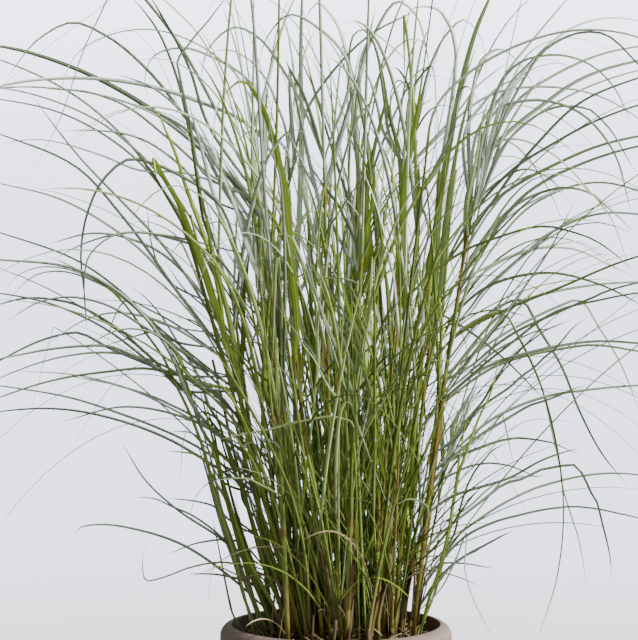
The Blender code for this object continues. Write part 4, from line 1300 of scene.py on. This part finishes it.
    (-0.14, 2.4, "fresh", (33, 380), (29, 395), (24, 409), (20, 424), (16, 441), (11, 457), (6, 471),
     (-2, 485)),
    (-0.14, 2.4, "moss", (28, 455), (35, 465), (42, 475), (49, 483), (57, 490)),
    (-0.05, 3.0, "green", (-100, 380), (-124, 405), (-142, 420), (-159, 430), (-172, 436), (-182, 441),
     (-192, 445), (-203, 449), (-213, 452), (-224, 455), (-234, 458), (-244, 460), (-260, 463), (-281, 466)),
    (-0.10, 2.8, "moss", (-108, 338), (-120, 358), (-130, 373), (-140, 381), (-148, 385), (-161, 387),
     (-178, 388)),
    (-0.03, 2.4, "green", (-112, 362), (-121, 377), (-129, 392), (-140, 400), (-146, 405), (-154, 408),
     (-172, 408)),
    (-0.05, 2.6, "olive", (-92, 262), (-109, 290), (-130, 308), (-151, 322), (-167, 329), (-174, 332),
     (-184, 337), (-192, 339), (-200, 340), (-208, 339)),
    (-0.02, 2.4, "green", (-100, 300), (-112, 318), (-121, 327), (-129, 332), (-140, 335), (-151, 337),
     (-161, 338), (-174, 339)),
    (-0.02, 4.4, "leafy", (-141, 446), (-153, 467), (-166, 490), (-179, 506), (-192, 521), (-206, 536),
     (-218, 547), (-232, 557), (-244, 566)),
    (-0.04, 5.0, "leafy", (-44, 356), (-47, 382), (-52, 417), (-56, 446), (-60, 469), (-60, 498), (-61, 524),
     (-65, 548), (-68, 573), (-73, 620), (-81, 645)),
    (-0.06, 5.0, "bright", (34, 560), (34, 597), (34, 620), (38, 645), (41, 680)),
    (0.02, 2.6, "olive", (86, 540), (85, 576), (84, 610), (85, 680)),
    (-0.03, 4.6, "pale", (112, 400), (123, 419), (134, 438), (145, 457)),
    (-0.14, 2.6, "dusk", (67, 464), (76, 481), (85, 501), (96, 524), (105, 538), (124, 560), (141, 583),
     (160, 607), (181, 629), (202, 649), (217, 658), (233, 662), (248, 661), (262, 657)),
    (-0.15, 1.8, "pale", (68, 333), (79, 338), (89, 335), (96, 329), (96, 318), (91, 306), (82, 295),
     (79, 289)),
    (-0.14, 2.0, "pale", (-56, 391), (-65, 398), (-78, 400), (-97, 394)),
    (-0.06, 2.4, "green", (-106, 443), (-128, 452), (-151, 460)),
    (-0.05, 1.8, "moss", (-94, 193), (-106, 217), (-110, 233), (-115, 251)),
    (-0.08, 6.0, "leafy", (-92, 400), (-99, 441), (-101, 469), (-106, 500), (-113, 534), (-123, 572),
     (-132, 614), (-137, 649)),
    (-0.11, 4.2, "moss", (-91, 391), (-99, 420), (-108, 455), (-118, 488), (-126, 517), (-134, 545),
     (-143, 576), (-151, 602), (-160, 626), (-171, 645), (-181, 662), (-192, 680), (-203, 693), (-218, 710)),
    (-0.06, 3.8, "leafy", (-84, 193), (-95, 240), (-107, 286), (-125, 343), (-135, 384), (-146, 415),
     (-154, 434), (-167, 460), (-177, 483), (-198, 512), (-218, 540), (-239, 560), (-262, 574), (-303, 592)),
    (-0.02, 3.2, "pale", (-106, 386), (-127, 427), (-144, 469), (-165, 503), (-185, 534), (-203, 552),
     (-217, 559)),
    (0.02, 3.0, "fresh", (-99, 424), (-109, 469), (-127, 503), (-144, 521), (-168, 528)),
    (-0.08, 3.6, "leafy", (-120, 350), (-137, 407), (-154, 455), (-168, 486), (-185, 510), (-199, 528)),
    (0.00, 3.4, "pale", (50, 600), (43, 655), (29, 725), (15, 770), (1, 801), (-13, 821), (-30, 832)),
    (-0.06, 3.0, "olive", (90, 700), (84, 739), (77, 763), (67, 782), (60, 786), (50, 778)),
    (0.02, 2.4, "pale", (84, 715), (77, 749), (72, 768), (65, 773), (58, 763), (56, 742)),
    (0.03, 3.0, "green", (20, 620), (29, 649), (50, 711), (70, 756), (84, 780), (98, 787), (108, 782)),
    (-0.03, 3.6, "teal", (-61, 586), (-89, 627), (-123, 683), (-158, 738), (-192, 766), (-230, 780)),
    (0.02, 4.4, "teal", (-54, 551), (-78, 600), (-113, 655), (-151, 718), (-192, 742), (-225, 752)),
    (-0.06, 5.0, "pale", (-89, 551), (-109, 607), (-127, 655), (-140, 703), (-153, 751)),
    (0.00, 4.6, "pale", (-64, 540), (-71, 562), (-85, 593), (-99, 627), (-113, 669), (-126, 705)),
    (0.04, 4.3, "teal", (1, 593), (-16, 641), (-26, 683), (-37, 735), (-44, 766), (-51, 794)),
    (-0.08, 4.0, "teal", (43, 524), (22, 572), (1, 613), (-19, 655), (-33, 683), (-50, 720)),
    (0.05, 3.2, "olive", (22, 600), (15, 641), (1, 686), (-19, 752), (-30, 790)),
    (-0.04, 5.2, "leafy", (38, 540), (36, 580), (32, 649), (39, 697), (50, 745), (54, 765)),
    (-0.05, 3.0, "fresh", (26, 540), (25, 580), (24, 649), (25, 718), (27, 735)),
    (0.00, 5.4, "pale", (100, 560), (105, 610), (112, 655), (119, 718), (133, 770), (146, 810)),
    (-0.05, 5.2, "moss", (-49, 193), (-59, 233), (-73, 266), (-82, 298), (-88, 320), (-95, 344), (-105, 369),
     (-115, 400), (-128, 440)),
    (-0.01, 5.2, "leafy", (-40, 193), (-51, 239), (-62, 268), (-72, 298), (-82, 336), (-92, 369), (-101, 405),
     (-112, 440)),
    (-0.03, 4.6, "leafy", (-54, 193), (-65, 228), (-78, 252), (-92, 279), (-105, 317), (-116, 352),
     (-125, 380), (-136, 410)),
    (0.01, 4.4, "moss", (-73, 193), (-84, 228), (-95, 255), (-105, 282), (-116, 315), (-124, 344),
     (-133, 372), (-142, 400)),
    (-0.02, 2.4, "olive", (-90, 193), (-107, 220), (-112, 241), (-118, 271), (-128, 320)),
    (-0.07, 4.4, "moss", (-44, 193), (-50, 238), (-57, 268), (-65, 293), (-76, 323), (-84, 350)),
    (-0.07, 3.4, "moss", (-64, 193), (-79, 241), (-87, 256), (-97, 277), (-106, 308), (-115, 336)),
    (-0.07, 4.4, "leafy", (-28, 193), (-40, 235), (-47, 258), (-51, 268), (-59, 287), (-65, 306), (-71, 326),
     (-76, 348), (-81, 365), (-89, 382), (-99, 395), (-112, 414)),
    (-0.06, 2.4, "dusk", (-99, 362), (-104, 374), (-110, 388), (-116, 400), (-120, 413), (-126, 425),
     (-133, 435), (-138, 450)),
    (-0.04, 2.8, "dusk", (-98, 300), (-110, 326), (-115, 343), (-119, 356), (-120, 369), (-123, 388),
     (-125, 400), (-130, 420), (-137, 445)),
    (-0.02, 2.6, "dusk", (-92, 316), (-97, 338), (-100, 356), (-107, 369), (-114, 384), (-119, 400),
     (-126, 414), (-134, 430)),
    (-0.03, 4.6, "leafy", (-62, 193), (-76, 232), (-89, 263), (-94, 278), (-99, 291), (-104, 306),
     (-110, 327), (-116, 342), (-123, 353), (-129, 365), (-140, 384)),
    (-0.04, 3.0, "green", (-73, 193), (-88, 236), (-103, 284), (-118, 327), (-128, 374), (-141, 420),
     (-150, 458)),
    (-0.03, 3.2, "olive", (-66, 193), (-78, 242), (-95, 281), (-107, 320), (-121, 362), (-129, 398)),
    (-0.04, 3.4, "leafy", (-43, 193), (-54, 233), (-66, 267), (-77, 300), (-82, 322), (-91, 346)),
    (-0.02, 3.2, "olive", (-46, 193), (-55, 238), (-68, 269), (-77, 300), (-89, 338), (-96, 368),
     (-108, 410)),
    (-0.05, 3.0, "moss", (-34, 193), (-44, 236), (-53, 260), (-56, 288), (-67, 320), (-73, 352), (-82, 392)),
    (-0.05, 3.2, "sedge", (121, 545), (134, 576), (150, 604), (170, 629), (191, 646), (212, 656), (229, 660),
     (241, 661), (254, 659), (266, 654), (279, 643), (295, 629), (310, 614)),
    (0.02, 2.6, "teal", (121, 538), (134, 568), (148, 597), (170, 623), (191, 639), (217, 653), (233, 659),
     (247, 660), (262, 657), (274, 650), (289, 637), (305, 618)),
    (-0.08, 2.8, "olive", (118, 552), (131, 584), (139, 604), (150, 623), (160, 638), (170, 651), (186, 663),
     (202, 674), (217, 682)),
    (0.03, 2.6, "green", (120, 540), (132, 571), (145, 595), (157, 611), (170, 626), (184, 640), (196, 653),
     (212, 665), (224, 674), (239, 681)),
)


def nearest_cane(x, z, depth):
    """Point on the cane that passes nearest to a place in the front view, on the wanted side."""
    best = None
    for grown in shoots:
        for step in range(2, CANE_STEPS + 1):
            point = np.array(culm_point(grown, grown["height"] * step / CANE_STEPS))
            want = in_front_view(x, z, point[1])
            wanted = FRONT_START * depth if depth < IN_FRONT else BACK_START * depth
            cost = np.abs(point - want)[[0, 2]].sum() + DEPTH_WEIGHT * abs(point[1] - wanted)
            if best is None or cost < best[0]:
                best = (cost, point)
    return best[1]


dice = random.Random(53)
front = Bundle()
for depth, width, kind, *marks in FRONT_BLADES:
    if marks[0][1] > FROM_SOIL:
        start = nearest_cane(*marks[0], depth)
    else:
        start = in_front_view(*marks[0], SOIL_START * depth)
    power = LATE_REACH if width < BROAD and depth > IN_FRONT else EARLY_REACH
    reach = np.linspace(0, 1, len(marks)) ** power
    points = [start]
    for (x, z), share in zip(marks[1:], reach[1:]):
        points.append(in_front_view(x, z, start[1] + (depth - start[1]) * share))
    path = smooth_path(points, FRONT_RINGS)
    tone, age, bloom = KINDS[kind]
    traits = (max(0.0, tone + dice.uniform(-TONE_SPREAD, TONE_SPREAD)), age, bloom)
    facing = (dice.uniform(-FRONT_TILT, FRONT_TILT), 1, dice.uniform(-FRONT_TILT, FRONT_TILT))
    across = np.cross(path[1] - path[0], facing)
    widths = blade_widths(FRONT_RINGS, width / BLADE_TRIM)
    front.add(path, across, FOLDED, widths, traits, dice.uniform(-FRONT_TWIST, FRONT_TWIST))
outline_blades = front.grow("blades_front", leaf)


# ---------------------------------------------------------------- Dead leaves and stubble
# Last year's growth: straw-coloured blades that curl at the foot of the
# clump, torn brown sheaths round the canes, and cut stubs that stand between.
STRAWS = 54
STRAW_RISES = (0.004, 0.06)
STRAW_LENGTHS = (0.05, 0.20)
STRAW_WIDTHS = (0.0010, 0.0026)
STRAW_LEANS, STRAW_DROOPS, STRAW_POWERS = (5, 60), (70, 150), (0.7, 1.8)
STRAW_BOW = 0.35
STRAW_CLEARANCE = 0.002
STRAW_TONES = (0.3, 1.0)
STRAW_TWIST = 3
STUBS = 70
STUB_SPREAD = 0.95
STUB_SINK = 0.004
STUB_TONES = (0.0, 0.35)
STUB_SIDES = 6
STUB_LEAN = 0.18
STUB_HEIGHTS = (0.012, 0.075)
STUB_SIZES = (0.0008, 0.0024)
STUB_TAPER = (1.1, 1.0, 0.95, 0.95, 0.9, 0.7)
SHEATHS = 70
SHEATH_RISES = (0.0, 0.05)
SHEATH_LENGTHS = (0.025, 0.085)
SHEATH_WIDTH = 0.0028
SHEATH_OFF, SHEATH_FLARE = 0.0022, 0.006
SHEATH_TONE = 0.8
SHEATH_TAPER = (0.8, 1.0, 1.0, 1.0, 0.95, 0.9, 0.8, 0.65, 0.4, 0.1)
SCRAPS = 240
SCRAP_MARGIN = 0.020
SCRAP_RISES = (0.0, 0.010)
SCRAP_TONE = 0.7
SCRAP_LENGTHS = (0.008, 0.022)
SCRAP_WIDTHS = (0.0006, 0.0020)
SCRAP_TAPER = (0.5, 1.0, 1.0, 0.8, 0.3)

dice = random.Random(71)
dead = Bundle()
for number in range(STRAWS):
    grown = dice.choice(shoots)
    start = np.array(culm_point(grown, dice.uniform(*STRAW_RISES)))
    turn = dice.uniform(0, 2 * math.pi)
    length = dice.uniform(*STRAW_LENGTHS)
    lean, droop = dice.uniform(*STRAW_LEANS), dice.uniform(*STRAW_DROOPS)
    path = bending_path(start, turn, lean, droop, length, dice.uniform(*STRAW_POWERS), 0)
    bow = np.array([-math.sin(turn), math.cos(turn)]) * dice.uniform(-STRAW_BOW, STRAW_BOW) * length
    path[:, :2] += bow * (np.linspace(0, 1, RINGS)[:, None] ** 2)
    path[:, 2] = np.maximum(path[:, 2], SOIL_CROWN + STRAW_CLEARANCE)
    if not inside_box(path):
        continue
    widths = blade_widths(RINGS, dice.uniform(*STRAW_WIDTHS))
    traits = (dice.uniform(*STRAW_TONES), 1.0, 0.0)
    twist = dice.uniform(-STRAW_TWIST, STRAW_TWIST)
    dead.add(path, (-math.sin(turn), math.cos(turn), 0), FOLDED, widths, traits, twist)
for number in range(STUBS):
    turn = dice.uniform(0, 2 * math.pi)
    out = CROWN_RADIUS * math.sqrt(dice.random()) * STUB_SPREAD
    start = np.array(heading(turn) * out + Vector((0, 0, SOIL_CROWN - STUB_SINK)))
    tilt = np.array([dice.gauss(0, STUB_LEAN), dice.gauss(0, STUB_LEAN), 1.0])
    path = start + np.linspace(0, 1, len(STUB_TAPER))[:, None] * tilt * dice.uniform(*STUB_HEIGHTS)
    size = dice.uniform(*STUB_SIZES)
    traits = (dice.uniform(*STUB_TONES), 1.0, 0.0)
    dead.add(path, (1, 0.1, 0), circle(STUB_SIDES), [size * taper for taper in STUB_TAPER], traits)
for number in range(SHEATHS):
    grown = dice.choice(shoots)
    low, long = dice.uniform(*SHEATH_RISES), dice.uniform(*SHEATH_LENGTHS)
    turn = dice.uniform(0, 2 * math.pi)
    away = np.array(heading(turn))
    path = []
    steps = len(SHEATH_TAPER) - 1
    for step in range(steps + 1):
        off = SHEATH_OFF + SHEATH_FLARE * (step / steps) ** 2.5
        path.append(np.array(culm_point(grown, low + long * step / steps)) + away * off)
    widths = [SHEATH_WIDTH * taper for taper in SHEATH_TAPER]
    wrapped = ((0, 0), (1, -FOLD), (0, MIDRIB), (-1, -FOLD))
    traits = (dice.random() ** 2 * SHEATH_TONE, 1.0, 0.0)
    dead.add(path, (-away[1], away[0], 0), wrapped, widths, traits)
for number in range(SCRAPS):
    turn = dice.uniform(0, 2 * math.pi)
    out = (POT_MOUTH_RADIUS - SCRAP_MARGIN) * math.sqrt(dice.random())
    start = np.array(heading(turn) * out + Vector((0, 0, SOIL_CROWN + dice.uniform(*SCRAP_RISES))))
    along = np.array([dice.gauss(0, 1), dice.gauss(0, 1), dice.gauss(0.3, 0.5)])
    spread = np.linspace(0, 1, len(SCRAP_TAPER))[:, None]
    path = start + spread * along / np.linalg.norm(along) * dice.uniform(*SCRAP_LENGTHS)
    path[:, 2] = np.maximum(path[:, 2], SOIL_CROWN)
    size = dice.uniform(*SCRAP_WIDTHS)
    traits = (dice.random() ** 2 * SCRAP_TONE, 1.0, 0.0)
    dead.add(path, (0.1, 0.2, 1), FOLDED, [size * taper for taper in SCRAP_TAPER], traits)
litter = dead.grow("dead_leaves", leaf)
